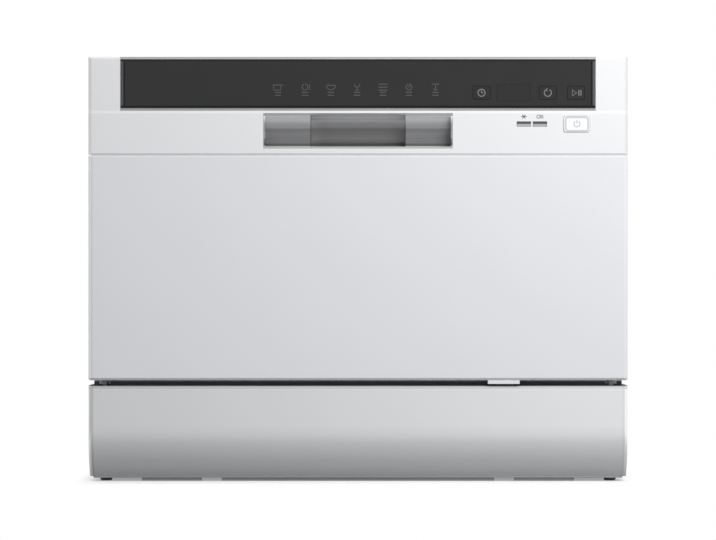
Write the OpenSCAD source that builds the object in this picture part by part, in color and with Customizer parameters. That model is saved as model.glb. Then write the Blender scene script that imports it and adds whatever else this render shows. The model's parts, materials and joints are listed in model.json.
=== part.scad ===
// Countertop dishwasher for six place settings: a drop down door, a kickplate under it,
// a wire basket on wheels and the working parts in the base.
// Millimetres. X runs to the right, Y to the back and Z up.
// The origin is the middle of the footprint, on the surface that the feet stand on.

/* [Body] */
// Overall width, across the door
body_w = 550; // [520:5:600]
// Overall depth, from the fascia to the rear edge
body_d = 500; // [480:5:560]
// Overall height, from the feet to the top
body_h = 434; // [424:2:480]
// How far each cabinet side stands in from the door's edge
cabinet_inset = 2.5; // [1:0.5:4]
// Thickness of the cabinet's steel sheet
sheet_t = 1; // [0.6:0.1:1.4]
// Radius of the cabinet's two upper corners
cabinet_r = 6; // [3:1:10]
// Clearance between fixed parts that seat in each other
seat_gap = 0.2; // [0.1:0.05:0.3]
// Clearance between parts that move on each other
run_gap = 0.4; // [0.3:0.05:0.5]

/* [Door] */
// Thickness of the door, from the fascia to the inner liner
door_t = 50; // [48:1:56]
// How far the white front stands behind the face of the fascia
front_step = 1.4; // [1:0.1:2]
// Height of the gap between the door and the kickplate
door_gap = 5.5; // [5:0.5:8]
// Height of the control panel, from the seam to the top
panel_h = 99.4; // [98:0.2:104]
// Width of the seam between the control panel and the steel front
seam_w = 1.4; // [1:0.2:2.4]
// Radius of the front's upright edges
edge_r = 4; // [2:0.5:6]
// Radius of the front's top and bottom edges
lip_r = 2.6; // [1.5:0.1:3]
// Depth of the front pan's side returns
return_d = 23; // [18:1:24]
// Wall of the control panel moulding
panel_wall = 2.5; // [2:0.1:3]

/* [Control strip] */
// Distance of the dark strip from each side of the door
fascia_side = 33; // [28:1:40]
// Height of the dark strip, without its lower bevel
fascia_h = 49.6; // [46:0.2:50]
// Height of the bevel along the strip's lower edge
fascia_bevel = 2.7; // [1:0.1:3]
// Distance from the top of the door to the strip
fascia_drop = 2.4; // [2:0.1:4]
// Thickness of the strip
fascia_t = 3; // [2.6:0.1:3.4]
// Width of a push button in the strip
button_w = 17.3; // [14:0.1:18]
// Height of a push button in the strip
button_h = 13.2; // [10:0.1:15]
// How far a push button travels
button_travel = 1.2; // [0.8:0.1:1.4]
// Width of the display window
window_w = 34.6; // [28:0.2:36]
// Height of the display window
window_h = 17.5; // [14:0.1:19]
// Width of the white power button
power_w = 26.5; // [22:0.1:28]
// Height of the white power button
power_h = 16; // [12:0.1:18]
// How far the power button travels
power_travel = 1.5; // [1:0.1:1.8]

/* [Handle] */
// Width of the handle recess
handle_w = 192.5; // [180:0.5:200]
// Height of the handle recess
handle_h = 35.5; // [30:0.5:37]
// Distance from the top of the door to the recess
handle_drop = 57.7; // [56:0.1:60]
// Depth of the recess at its ends
handle_depth = 17; // [14:1:20]
// Width of the deeper finger cavity
finger_w = 97; // [80:1:110]
// Depth of the finger cavity
finger_depth = 31; // [26:1:34]
// Wall of the handle cup
cup_wall = 1.6; // [1.2:0.1:2]

/* [Kickplate] */
// Height of the kickplate's upper edge
kick_top = 98.8; // [97:0.2:102]
// Height of the kickplate's lower edge
kick_bottom = 5.2; // [4:0.2:8]
// How far the kickplate's face stands behind the fascia
kick_step = 4; // [3.6:0.1:5]
// Height at which the kickplate starts to curve back
kick_flat = 56; // [50:1:62]
// Radius of the kickplate's lower curve
kick_r = 72; // [70:1:90]
// Wall of the kickplate
kick_wall = 2.5; // [2:0.1:3]
// Radius of the kickplate's upper edge
kick_lip_r = 4; // [3.6:0.2:5]

/* [Hinge] */
// Distance of the hinge axis behind the fascia
hinge_back = 20; // [19.6:0.1:21]
// Distance of the hinge axis below the door
hinge_drop = 25; // [25:0.2:27]
// Radius of the hinge pin
pin_r = 4; // [3:0.2:5]
// Distance of the hinge arm's inner face from the side of the door
arm_side = 16; // [16:0.5:18]
// Thickness of the hinge arm
arm_t = 4.6; // [3.5:0.1:5]

/* [Tub] */
// Distance of the tub's inside from each side of the door
tub_side = 33; // [32:0.5:36]
// Height of the tub's floor
tub_floor = 113; // [112:0.5:118]
// Space between the tub's roof and the top of the cabinet
roof_space = 24; // [22:1:30]
// Distance from the tub's front flange to the door's liner
gasket_t = 10; // [9:0.5:12]
// Space behind the tub
back_space = 24; // [22:1:34]
// Thickness of the tub's sheet
tub_t = 1; // [0.8:0.1:1.2]
// Radius of the tub's long corners
tub_r = 24; // [15:1:30]
// Width of the gasket
gasket_w = 10; // [8:0.5:12]

/* [Washing parts] */
// Radius of the sump
sump_r = 95; // [90:1:98]
// Radius of the filter cup
filter_r = 35; // [30:1:36]
// Radius that the spray arm sweeps
spray_r = 185; // [170:1:190]
// Thickness of the spray arm's blades
spray_t = 13; // [10:0.5:14]
// Radius of the salt cap
salt_r = 28; // [26:0.5:32]
// Radius of the wash pump's motor
pump_r = 38; // [32:1:40]
// Outer radius of the inlet valve's threaded nipple
inlet_r = 13.2; // [12.8:0.1:13.4]
// Outer radius of the drain outlet
drain_r = 9.5; // [8:0.1:11]
// How far the nipples stand out of the rear bay
nipple_l = 19; // [14:0.5:20]
// Depth of the rear bay that the nipples stand in
bay_d = 22; // [20:0.5:26]

/* [Base] */
// Height of the underside of the base tray
tray_z = 8; // [7:0.5:9]
// Thickness of the tray's floor
tray_floor_t = 3; // [2:0.2:4]
// Thickness of the tray's walls
tray_wall = 2.5; // [2:0.1:3]
// Radius of a foot
foot_r = 6.2; // [5:0.1:9]
// Distance of a foot from each side of the body
foot_side = 15.4; // [13.6:0.2:24]

/* [Basket] */
// Space between the basket and each side wall of the tub
rack_side = 16; // [14:0.5:20]
// Space between the basket and the tub's mouth
rack_front = 12; // [10:0.5:16]
// Space between the basket and the tub's back wall
rack_back = 32; // [28:1:50]
// Height of the basket's floor above the tub's floor
rack_lift = 38; // [36:1:44]
// Height of the basket's sides
rack_h = 98; // [80:2:120]
// Radius of the basket's wires
wire_r = 1.7; // [1.3:0.1:2]
// Radius of the basket's rim wire
rim_r = 2.5; // [2:0.1:3]
// Radius of a rack wheel
wheel_r = 12; // [10:0.5:13]
// Width of a rack wheel
wheel_w = 8; // [6:0.5:9]
// Radius of a rack wheel's axle
axle_r = 3; // [2.5:0.1:4]
// Height of the cutlery basket
cutlery_h = 108; // [90:2:118]
// Depth of the folding cup shelf, from its hinge to its edge
shelf_w = 92; // [70:2:96]

/* [Hidden] */
$fn = 40;

// Overall planes
front_y = -body_d / 2;
rear_y = body_d / 2;
door_x = body_w / 2;
white_y = front_y + front_step;
liner_y = front_y + door_t;

tray_top = tray_z + tray_floor_t;

// Cabinet
cab_x = door_x - cabinet_inset;
cab_in_x = cab_x - sheet_t;
cab_front_y = liner_y + 1;
cab_bottom_z = tray_z + 14;
back_y = rear_y - 3;
fit_x = cab_in_x - seat_gap;
fit_z = body_h - sheet_t - seat_gap;
flange_w = 10;

// Door
door_z = kick_top + door_gap;
seam_z = body_h - panel_h - seam_w;
panel_z = body_h - panel_h;
return_y = white_y + return_d;
front_sheet = 1;
liner_t = 1;
liner_x = door_x - 3.5;
liner_z = door_z + 2;
liner_top = body_h - 3;

// Control strip
fascia_top = body_h - fascia_drop;
fascia_z = fascia_top - fascia_h;
fascia_y = front_y + 0.4;
pocket_y = fascia_y + fascia_t;
fascia_w = body_w - 2 * fascia_side;
control_z = fascia_top - fascia_h / 2 - 9.6;
button_x = [for (inset = [149.2, 81.7, 53]) door_x - inset];
window_x = door_x - 116.6;
power_x = door_x - 52;
power_z = fascia_z - 16.6;
power_y = white_y - 0.8;
lamp_x = [door_x - 106, door_x - 89.6];
lamp_w = 14.2;
lamp_h = 5.1;
lamp_z = power_z;
board_y = pocket_y + panel_wall + 4;

// Handle
handle_top = body_h - handle_drop;
handle_z = handle_top - handle_h;

// Kickplate and hinge
kick_y = front_y + kick_step;
kick_back_y = cab_front_y - 0.3;
axis_y = front_y + hinge_back;
axis_z = door_z - hinge_drop;
eye_r = pin_r + 5;
arm_x = door_x - arm_side;
bracket_t = 3;
bracket_x = arm_x - 1 - bracket_t;
bracket_foot_w = 16;

// Tub
tub_x = door_x - tub_side;
tub_top = body_h - roof_space;
tub_y0 = liner_y + gasket_t;
tub_y1 = rear_y - back_space;
spray_y = (tub_y0 + tub_y1) / 2;
flange_z = tub_floor - 15;

// Washing parts
sump_y = spray_y - 23;
sump_flange_r = sump_r + 14;
sump_z = tub_floor - 43;
well_z = tub_floor - 64;
ledge_z = tub_floor - 3.2;
plate_t = 1;
filter_y = spray_y - 66;
riser_r = 12;
spigot_r = 10;
arm_z = tub_floor + 9;
hub_h = 19;
salt_side = 92;
salt_x = salt_side - tub_x;
salt_y = spray_y - 96;
neck_r = salt_r - 3;
pump_y = sump_y + sump_r + pump_r + 27;
pump_z = tray_top + pump_r + 6;
pump_x0 = -108;
pump_x1 = 14;
hose_x = pump_x1 + 46;
hose_z = sump_z + 15;
hose_inner = 8;
hose_outer = 10.6;
heater_y = sump_y + 66;
heater_r = 17;
heater_z = tray_top + heater_r + 7;
heater_x0 = -140;
heater_x1 = -40;
drain_inlet_x = sump_r - 3;
drain_x = drain_inlet_x + 8;
drain_z = well_z + 9;
drain_motor_r = 18;
softener_half_d = 64;
softener_lift = 6;
inlet_x = drain_x + 65;
inlet_z = tray_top + 35;
gland_side = 72.5;
gland_x = gland_side - cab_x;
gland_z = tray_top + 31;
gland_r = 8;

// Base tray
tray_front_y = kick_y + 26;
tray_rear_y = back_y - seat_gap;
bay_y = rear_y - bay_d - 2;
bay_x0 = drain_x - 30;
bay_x1 = inlet_x + 35;
tray_wall_top = tray_top + 76;
post_r = 9;
foot_x = door_x - foot_side;
foot_y = [tray_front_y + 10, rear_y - 22];
foot_stud_r = 4;

// Basket
rack_x = tub_x - rack_side;
rack_y0 = tub_y0 + rack_front;
rack_y1 = tub_y1 - rack_back;
rack_z = tub_floor + rack_lift;
rim_z = rack_z + rack_h;
axle_z = tub_floor + 0.3 + wheel_r;
floor_cols = 13;
floor_rows = 11;
side_posts = 11;
mid_rail_z = rack_z + rack_h / 2;
tine_x = [-56, 38];
tine_h = 62;
wheel_y = [for (row = [4, 9]) rack_y0 + (rack_y1 - rack_y0) * row / (floor_rows - 1)];
carrier_x = rack_x - 22;
wheel_mid_x = carrier_x + run_gap + wheel_w / 2;
shelf_z = rack_z + 74;
shelf_x = -rack_x + 7;
shelf_arm_y = [for (row = [1, 9]) rack_y0 + (rack_y1 - rack_y0) * row / (side_posts - 1)];
cutlery_x = rack_x - 64;
cutlery_y = rack_y0 + 66;
cutlery_w = 92;
cutlery_d = 104;

// A block between two corners
module block(x0, x1, y0, y1, z0, z1)
    translate([x0, y0, z0]) cube([x1 - x0, y1 - y0, z1 - z0]);

// A round bar along X, along Y or along Z
module rod_x(x0, x1, y, z, r) translate([x0, y, z]) rotate([0, 90, 0]) cylinder(h = x1 - x0, r = r);
module rod_y(y0, y1, x, z, r) translate([x, y0, z]) rotate([-90, 0, 0]) cylinder(h = y1 - y0, r = r);
module rod_z(z0, z1, x, y, r) translate([x, y, z0]) cylinder(h = z1 - z0, r = r);

// An outline drawn in X and Z, thick from y0 to y1
module thick_y(y0, y1) translate([0, y1, 0]) rotate([90, 0, 0]) linear_extrude(y1 - y0) children();

// An outline drawn in Y and Z, thick from x0 to x1
module thick_x(x0, x1) translate([x0, 0, 0]) rotate([90, 0, 90]) linear_extrude(x1 - x0) children();

// An outline drawn in X and Y, thick from z0 to z1
module thick_z(z0, z1) translate([0, 0, z0]) linear_extrude(z1 - z0) children();

// A rectangle with true round corners. lower and upper say which pairs are round
module soft_rect(x0, x1, y0, y1, r, lower = true, upper = true) {
    low = lower ? r : 0;
    high = upper ? r : 0;
    translate([x0, y0 + low]) square([x1 - x0, y1 - y0 - low - high]);
    translate([x0 + r, y0]) square([x1 - x0 - 2 * r, y1 - y0]);
    for (x = [x0 + r, x1 - r]) {
        if (lower) translate([x, y0 + r]) circle(r);
        if (upper) translate([x, y1 - r]) circle(r);
    }
}

// A block whose front edges are round: side_r upright, low_r below and high_r above
module faced_block(x, y0, y1, z0, z1, side_r, low_r, high_r) {
    intersection() {
        thick_z(z0, z1) soft_rect(-x, x, y0, y1, side_r, true, false);
        thick_x(-x, x) union() {
            translate([y0, z0 + low_r]) square([y1 - y0, z1 - z0 - low_r - high_r]);
            translate([y0 + low_r, z0]) square([y1 - y0 - low_r, (z1 - z0) / 2]);
            translate([y0 + high_r, (z0 + z1) / 2]) square([y1 - y0 - high_r, (z1 - z0) / 2]);
            translate([y0 + low_r, z0 + low_r]) circle(low_r);
            translate([y0 + high_r, z1 - high_r]) circle(high_r);
        }
    }
}

// Cabinet

module cabinet_outline(inset)
    soft_rect(-cab_x + inset, cab_x - inset, cab_bottom_z - (inset > 0 ? 1 : 0), body_h - inset,
        cabinet_r - inset, false, true);

module cabinet_shell() color("gainsboro") {
    thick_y(cab_front_y, rear_y) difference() {
        cabinet_outline(0);
        cabinet_outline(sheet_t);
    }
    // flange that the back panel is screwed to
    difference() {
        thick_y(back_y - sheet_t, back_y) difference() {
            cabinet_outline(sheet_t / 2);
            soft_rect(-cab_x + flange_w, cab_x - flange_w, cab_bottom_z - 2, body_h - flange_w,
                cabinet_r, false, true);
            translate([-cab_x, 0]) square([2 * cab_x, tray_wall_top + 1]);
        }
        for (p = screw_places) rod_y(back_y - 3, back_y + 1, p[0], p[1], screw_hole_r);
    }
}

slot_rows = 6;
slot_pitch = 11;
slot_h = 4;
slot_mid_x = cab_x - 122.5;
slot_half_w = 40;
slot_z = body_h - 104;
module back_panel() color("silver") {
    difference() {
        thick_y(back_y, back_y + sheet_t)
            soft_rect(-fit_x, fit_x, tray_wall_top + 2, fit_z, cabinet_r - sheet_t, false, true);
        // cooling slots, in two groups
        for (side = [-1, 1], row = [0 : slot_rows - 1])
            thick_y(back_y - 1, back_y + 2)
                soft_rect(side * slot_mid_x - slot_half_w, side * slot_mid_x + slot_half_w,
                    slot_z + row * slot_pitch, slot_z + row * slot_pitch + slot_h, slot_h / 2 - 0.1);
        for (p = screw_places) rod_y(back_y - 1, back_y + 2, p[0], p[1], screw_hole_r);
    }
}

screw_in = 5;
screw_hole_r = 2.2;
top_screw_x = cab_x - 102.5;
screw_above_tray = 13;
screw_below_top = 134;
side_screw_z = spread(tray_wall_top + screw_above_tray, body_h - screw_below_top, 3);
screw_places = concat(
    [for (x = [-1, 1], z = side_screw_z) [x * (fit_x - screw_in), z]],
    [for (x = spread(-top_screw_x, top_screw_x, 3)) [x, fit_z - screw_in]]);
module back_screws() color("dimgray")
    for (p = screw_places) {
        rod_y(back_y - 6, back_y + sheet_t + 0.1, p[0], p[1], screw_hole_r - 0.2);
        rod_y(back_y + sheet_t, rear_y - 0.3, p[0], p[1], 3.6);
    }

// Base

module tray_plan()
    difference() {
        union() {
            translate([-fit_x, cab_front_y]) square([2 * fit_x, tray_rear_y - cab_front_y]);
            translate([-fit_x, tray_front_y]) square([2 * fit_x, cab_front_y - tray_front_y + 1]);
        }
        translate([bay_x0 + tray_wall, bay_y + tray_wall])
            square([bay_x1 - bay_x0 - 2 * tray_wall, rear_y - bay_y]);
    }

module tray_walls()
    difference() {
        union() {
            for (side = [-1, 1])
                translate([side > 0 ? fit_x - tray_wall : -fit_x, cab_front_y + 2])
                    square([tray_wall, tray_rear_y - cab_front_y - 2]);
            translate([-fit_x, tray_rear_y - tray_wall]) square([2 * fit_x, tray_wall]);
            translate([-wall_end_x, cab_front_y + 2]) square([2 * wall_end_x, tray_wall]);
            translate([bay_x0, bay_y]) square([bay_x1 - bay_x0, rear_y - 4 - bay_y]);
        }
        translate([bay_x0 + tray_wall, bay_y + tray_wall])
            square([bay_x1 - bay_x0 - 2 * tray_wall, rear_y - bay_y]);
    }

// the front wall stops short of the hinge brackets
wall_end_x = bracket_x - bracket_foot_w - 3;
rim_x = door_x - 60;
rim_drop = 5;
skid_x = 120;
post_x = tub_x - 20;
post_rib = 5;
post_rib_h = 49;
step_half_w = 58;
rim_notches = [[-160.4, -135.5], [-11, 11], [135.5, 160.4]];
module base_tray() color("#2b2c2e") {
    difference() {
        union() {
            thick_z(tray_z, tray_top) tray_plan();
            thick_z(tray_top - 1, tray_wall_top) tray_walls();
            // roof of the bay
            block(bay_x0, bay_x1, bay_y, tray_rear_y, tray_wall_top - tray_wall, tray_wall_top);
            // rim that hangs below the front, seen under the kickplate
            difference() {
                block(-rim_x, rim_x, tray_front_y, tray_front_y + tray_wall, tray_z - rim_drop, tray_z + 1);
                for (n = rim_notches)
                    block(n[0], n[1], tray_front_y - 1, tray_front_y + tray_wall + 1,
                        tray_z - rim_drop - 1, tray_z - 0.5);
            }
            // skids along the underside
            for (x = [-skid_x, skid_x])
                block(x - 3, x + 3, tray_front_y + 20, rear_y - 50, tray_z - rim_drop + 1, tray_z + 1);
            // bosses that the feet screw into
            for (x = [-foot_x, foot_x], y = foot_y) rod_z(tray_top - 1, tray_top + 8, x, y, 8.5);
        }
        for (x = [-foot_x, foot_x], y = foot_y)
            rod_z(tray_z - 1, tray_top + 14, x, y, foot_stud_r + seat_gap);
        rod_y(bay_y - 1, bay_y + tray_wall + 1, drain_x, drain_z, drain_r + seat_gap);
        rod_y(bay_y - 1, bay_y + tray_wall + 1, inlet_x, inlet_z, inlet_r + seat_gap);
        rod_y(tray_rear_y - tray_wall - 1, tray_rear_y + 1, gland_x, gland_z, gland_r + seat_gap);
    }
}

// Posts, saddles and the softener's step, which stand on the tray's floor
module tray_supports() color("#34363a") {
    // posts that carry the tub
    for (x = [-1, 1], y = [tub_y0 + 40, tub_y1 - 30]) {
        rod_z(tray_top, tub_floor - tub_t - seat_gap, x * post_x, y, post_r);
        for (turn = [0, 90])
            translate([x * post_x, y, tray_top]) rotate([0, 0, turn])
                translate([-post_r - post_rib, -1.2, 0]) cube([2 * (post_r + post_rib), 2.4, post_rib_h]);
    }
    // saddles for the pump, the heater and the drain pump
    for (x = [pump_x0 + 28, pump_x1 - 34]) saddle(x, pump_y, pump_z, pump_r, 46);
    for (x = [heater_x0 + 15, heater_x1 - 15]) saddle(x, heater_y, heater_z, heater_r, 26);
    saddle(drain_inlet_x + 36, filter_y, drain_z, drain_motor_r, 26);
    // step under the softener
    block(salt_x - step_half_w, salt_x + step_half_w, salt_y - softener_half_d - 2,
        salt_y + softener_half_d + 2, tray_top, tray_top + softener_lift);
}

// A cradle on the tray, with a hollow for a round body that lies along X
module saddle(x, y, z, r, w)
    difference() {
        block(x - 4, x + 4, y - w / 2, y + w / 2, tray_top, z - r * 0.55);
        rod_x(x - 5, x + 5, y, z, r + seat_gap);
    }

module feet() color("#b9bbbd")
    for (x = [-foot_x, foot_x], y = foot_y) translate([x, y, 0]) {
        cylinder(h = 1, r1 = foot_r - 0.8, r2 = foot_r);
        translate([0, 0, 1]) cylinder(h = tray_z - 3, r = foot_r);
        translate([0, 0, tray_z - 2]) cylinder(h = 2, r = foot_r + 2.4);
        translate([0, 0, tray_z]) cylinder(h = tray_floor_t + 7, r = foot_stud_r);
    }

// The kickplate's section in Y and Z, drawn in by a wall's thickness
module kick_section(wall)
    intersection() {
        difference() {
            translate([kick_y + wall, kick_bottom + (wall > 0 ? -1 : 0)])
                square([kick_back_y - kick_y + 2 * wall,
                    kick_top - kick_bottom - wall + (wall > 0 ? 1 : 0)]);
            // takes the sharp upper corner off, then the round edge goes back
            translate([kick_y, kick_top - kick_lip_r])
                difference() {
                    square([kick_lip_r, kick_lip_r]);
                    translate([kick_lip_r, 0]) circle(kick_lip_r - wall);
                }
        }
        union() {
            translate([kick_y, kick_flat]) square([kick_back_y - kick_y + 20, kick_top]);
            translate([kick_y + kick_r, kick_flat]) circle(kick_r - wall, $fn = 120);
            translate([kick_y + kick_r, kick_bottom - 2]) square([20, kick_flat]);
        }
    }

module kickplate() color("whitesmoke") {
    difference() {
        intersection() {
            thick_x(-door_x, door_x) kick_section(0);
            thick_z(0, kick_top + 1) soft_rect(-door_x, door_x, kick_y, kick_back_y, edge_r, true, false);
        }
        thick_x(-door_x + kick_wall, door_x - kick_wall) kick_section(kick_wall);
        // the upper web stops short of the door's lower edge, and shorter where the hinge arms swing
        block(-door_x + kick_wall, door_x - kick_wall, axis_y + 2, kick_back_y + 1, kick_flat, kick_top + 1);
        for (side = [0, 1])
            mirror([side, 0, 0])
                block(arm_x - 2, arm_x + arm_t + 2, axis_y - eye_r - 1.2, kick_back_y + 1, kick_flat, kick_top + 1);
    }
    // ribs inside
    for (x = [-180, -60, 60, 180])
        intersection() {
            block(x - 1, x + 1, kick_y, axis_y - 2, kick_bottom, kick_top - 1);
            thick_x(x - 1, x + 1) kick_section(1);
        }
}

// Tub

module tub_outline(grow, floor_z = tub_floor)
    soft_rect(-tub_x - grow, tub_x + grow, floor_z - grow, tub_top + grow, tub_r + grow);

module tub() color("silver") {
    difference() {
        union() {
            thick_y(tub_y0, tub_y1 + tub_t) tub_outline(tub_t);
            // front flange
            thick_y(tub_y0, tub_y0 + tub_t)
                soft_rect(-fit_x, fit_x, flange_z, fit_z, cabinet_r - sheet_t - seat_gap, false, true);
        }
        thick_y(tub_y0 - 1, tub_y1) tub_outline(0);
        rod_z(tub_floor - 10, tub_floor + 1, 0, sump_y, sump_r + seat_gap);
        rod_z(tub_floor - 10, tub_floor + 1, salt_x, salt_y, salt_r - 1 + seat_gap);
        rod_x(-tub_x - 10, -tub_x + 1, box_neck_y, box_neck_z, box_neck_r + seat_gap);
    }
    // pressed ribs on the outside of the back wall
    for (x = [-140, 0, 140])
        thick_y(tub_y1 + tub_t, tub_y1 + tub_t + 3)
            soft_rect(x - 30, x + 30, tub_floor + 60, tub_top - 50, 12);
}

module gasket_outline(grow)
    soft_rect(-tub_x - grow, tub_x + grow, tub_floor - 10, tub_top + grow, tub_r + grow, false, true);

module door_gasket() color("#1e1f21") {
    thick_y(liner_y + run_gap, tub_y0) difference() {
        gasket_outline(gasket_w);
        gasket_outline(2);
        translate([-door_x, tub_floor - 20]) square([body_w, 16]);
    }
}

module bottom_seal() color("#1e1f21") {
    // lip strip that closes the tub's mouth along its floor
    thick_x(-tub_x - gasket_w, tub_x + gasket_w) union() {
        translate([liner_y + run_gap, tub_floor - 8]) square([tub_y0 - liner_y - run_gap, 4]);
        translate([tub_y0 - 3, flange_z]) square([3, tub_floor - 8 - flange_z]);
        polygon([[tub_y0 - 3, tub_floor - 20 + 6], [tub_y0 - 3, tub_floor - 8],
            [liner_y + run_gap, tub_floor - 8]]);
    }
}

// Washing parts

module sump() color("#3a3c3f") {
    difference() {
        union() {
            rod_z(tub_floor - tub_t - seat_gap - 3, tub_floor - tub_t - seat_gap, 0, sump_y, sump_flange_r);
            rod_z(sump_z, tub_floor - tub_t - seat_gap, 0, sump_y, sump_r);
            rod_z(well_z, sump_z + 1, 0, filter_y, filter_r + 7);
            rod_y(sump_y + 30, sump_y + sump_r + 8, hose_x, hose_z, hose_inner + 3);
            rod_x(20, drain_inlet_x, filter_y, drain_z, 10);
        }
        rod_z(sump_z + 2.5, ledge_z, 0, sump_y, sump_r - 8);
        rod_z(ledge_z, tub_floor, 0, sump_y, sump_r - 2.5);
        rod_z(well_z + 2.5, sump_z + 3, 0, filter_y, filter_r + 4.5);
        rod_y(sump_y + 40, sump_y + sump_r + 10, hose_x, hose_z, hose_inner + 0.5);
        rod_x(filter_r, drain_inlet_x + 2, filter_y, drain_z, 7.5);
    }
    // socket of the riser
    difference() {
        rod_z(sump_z + 2, sump_z + 24, 0, spray_y, riser_r + 3);
        rod_z(sump_z + 4, sump_z + 25, 0, spray_y, riser_r + seat_gap);
    }
}

hole_rings = [[82, 30], [73, 26], [64, 22]];
module filter_plate() color("silver") {
    difference() {
        rod_z(ledge_z, ledge_z + plate_t, 0, sump_y, sump_r - 3);
        rod_z(ledge_z - 1, ledge_z + 2, 0, filter_y, filter_r + run_gap);
        rod_z(ledge_z - 1, ledge_z + 2, 0, spray_y, riser_r + 3 + run_gap);
        for (ring = hole_rings, i = [0 : ring[1] - 1])
            rotate_about(0, sump_y, i * 360 / ring[1])
                translate([ring[0] * (sump_r - 5) / 90, 0, ledge_z - 1]) cylinder(h = 3, r = 2);
    }
}

module rotate_about(x, y, angle) translate([x, y, 0]) rotate([0, 0, angle]) children();

cup_rim_z = ledge_z + plate_t + 0.3;
module filter_cup() color("#6d7f8c") {
    difference() {
        union() {
            rod_z(cup_rim_z, cup_rim_z + 3, 0, filter_y, filter_r + 4);
            rod_z(well_z + 5, cup_rim_z + 1, 0, filter_y, filter_r);
        }
        rod_z(well_z + 7.5, cup_rim_z + 4, 0, filter_y, filter_r - 2.5);
        // windows of the fine filter
        for (i = [0 : 5])
            rotate_about(0, filter_y, i * 60 + 30)
                block(filter_r - 8, filter_r + 2, -9, 9, well_z + 16, cup_rim_z - 12);
    }
    // grip bar
    block(-filter_r, filter_r, filter_y - 3, filter_y + 3, cup_rim_z + 0.5, cup_rim_z + 8);
}

module softener() color("gainsboro") {
    difference() {
        union() {
            thick_z(tray_top + softener_lift, sump_z + 18) translate([salt_x, salt_y])
                soft_rect(-56, 52, -softener_half_d, softener_half_d, 14);
            rod_z(sump_z + 17, tub_floor - tub_t - seat_gap, salt_x, salt_y, salt_r + 5);
            rod_z(tub_floor - 2, tub_floor + 0.4, salt_x, salt_y, salt_r - 1);
        }
        rod_z(tub_floor - 24, tub_floor + 1, salt_x, salt_y, neck_r - 2 + run_gap);
        rod_z(sump_z, tub_floor - 20, salt_x, salt_y, neck_r - 4);
    }
}

module salt_cap() color("#4a4d50") {
    rod_z(tub_floor - 16, tub_floor + 1.5, salt_x, salt_y, neck_r - 2);
    rod_z(tub_floor + 0.8, tub_floor + 4, salt_x, salt_y, salt_r);
    for (i = [0 : 2])
        rotate_about(salt_x, salt_y, i * 60)
            block(-salt_r + 5, salt_r - 5, -2, 2, tub_floor + 3, tub_floor + 6.4);
}

module spray_riser() color("#505356") {
    difference() {
        union() {
            rod_z(sump_z + 4, arm_z - 3, 0, spray_y, riser_r);
            rod_z(arm_z - 4, arm_z - run_gap, 0, spray_y, riser_r + 4);
            rod_z(arm_z - 1, arm_z + hub_h - 4, 0, spray_y, spigot_r);
        }
        rod_z(sump_z + 5, arm_z + hub_h - 3, 0, spray_y, spigot_r - 3);
    }
}

blade_root = 26;
blade_tip = 14;
module spray_blade() {
    // the blade tapers in plan and has a soft upper and lower edge
    hull() {
        translate([30, 0, 2]) cylinder(h = spray_t - 4, r = blade_root, $fn = 32);
        translate([spray_r - blade_tip, 0, 2]) cylinder(h = spray_t - 6, r = blade_tip, $fn = 32);
        translate([30, 0, 0]) cylinder(h = spray_t, r = blade_root - 5, $fn = 32);
        translate([spray_r - blade_tip, 0, 0.5]) cylinder(h = spray_t - 3, r = blade_tip - 4, $fn = 32);
    }
}

module spray_arm() color("#5a5d60") {
    translate([0, spray_y, arm_z]) rotate([0, 0, 24]) difference() {
        union() {
            for (turn = [0, 180]) rotate([0, 0, turn]) spray_blade();
            cylinder(h = hub_h, r = spigot_r + 11);
        }
        translate([0, 0, -1]) cylinder(h = hub_h - 2, r = spigot_r + run_gap);
        for (turn = [0, 180], i = [0 : 5])
            rotate([0, 0, turn]) translate([44 + i * (spray_r - 64) / 5, i % 2 == 0 ? 4 : -4, spray_t - 5])
                cylinder(h = 9, r = 1.6);
    }
}

module wash_pump() color("#8d9195") {
    rod_x(pump_x0, pump_x1, pump_y, pump_z, pump_r);
    rod_x(pump_x0 - 6, pump_x0 + 1, pump_y, pump_z, pump_r - 15);
    rod_x(pump_x1 - 1, pump_x1 + 3, pump_y, pump_z, pump_r - 6);
    rod_x(pump_x1 + 2, pump_x1 + 26, pump_y, pump_z, pump_r + 4);
    rod_x(pump_x1 + 25, hose_x - hose_outer, pump_y, pump_z, hose_inner - seat_gap);
    // terminal box
    block(pump_x0 + 38, pump_x1 - 44, pump_y - 12, pump_y + 12, pump_z + pump_r - 4, pump_z + pump_r + 12);
}

// From the sump's side spigot down to the pump's eye
module wash_hose() color("#26272a") {
    start_y = sump_y + sump_r + 8.3;
    eye_x = hose_x - 17;
    difference() {
        union() {
            rod_y(start_y, pump_y, hose_x, hose_z, hose_outer);
            rod_z(pump_z, hose_z, hose_x, pump_y, hose_outer);
            rod_x(eye_x, hose_x, pump_y, pump_z, hose_outer);
        }
        rod_y(start_y - 1, pump_y, hose_x, hose_z, hose_inner);
        rod_z(pump_z, hose_z, hose_x, pump_y, hose_inner);
        rod_x(eye_x - 1, hose_x, pump_y, pump_z, hose_inner);
    }
}

module flow_heater() color("silver") {
    rod_x(heater_x0, heater_x1, heater_y, heater_z, heater_r);
    rod_x(heater_x0 - 6, heater_x1 + 6, heater_y, heater_z, heater_r - 8);
    block(heater_x0 + 30, heater_x0 + 50, heater_y - 8, heater_y + 8,
        heater_z + heater_r - 5, heater_z + heater_r + 5);
}

module drain_pump() color("#8d9195") {
    rod_x(drain_inlet_x + 0.3, drain_inlet_x + 3, filter_y, drain_z, 12);
    rod_x(drain_inlet_x + 2, drain_inlet_x + 16, filter_y, drain_z, 24);
    rod_x(drain_inlet_x + 15, drain_inlet_x + 56, filter_y, drain_z, drain_motor_r);
    rod_y(filter_y + 14, drain_hose_y - 0.3, drain_x, drain_z, 8);
}

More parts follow.
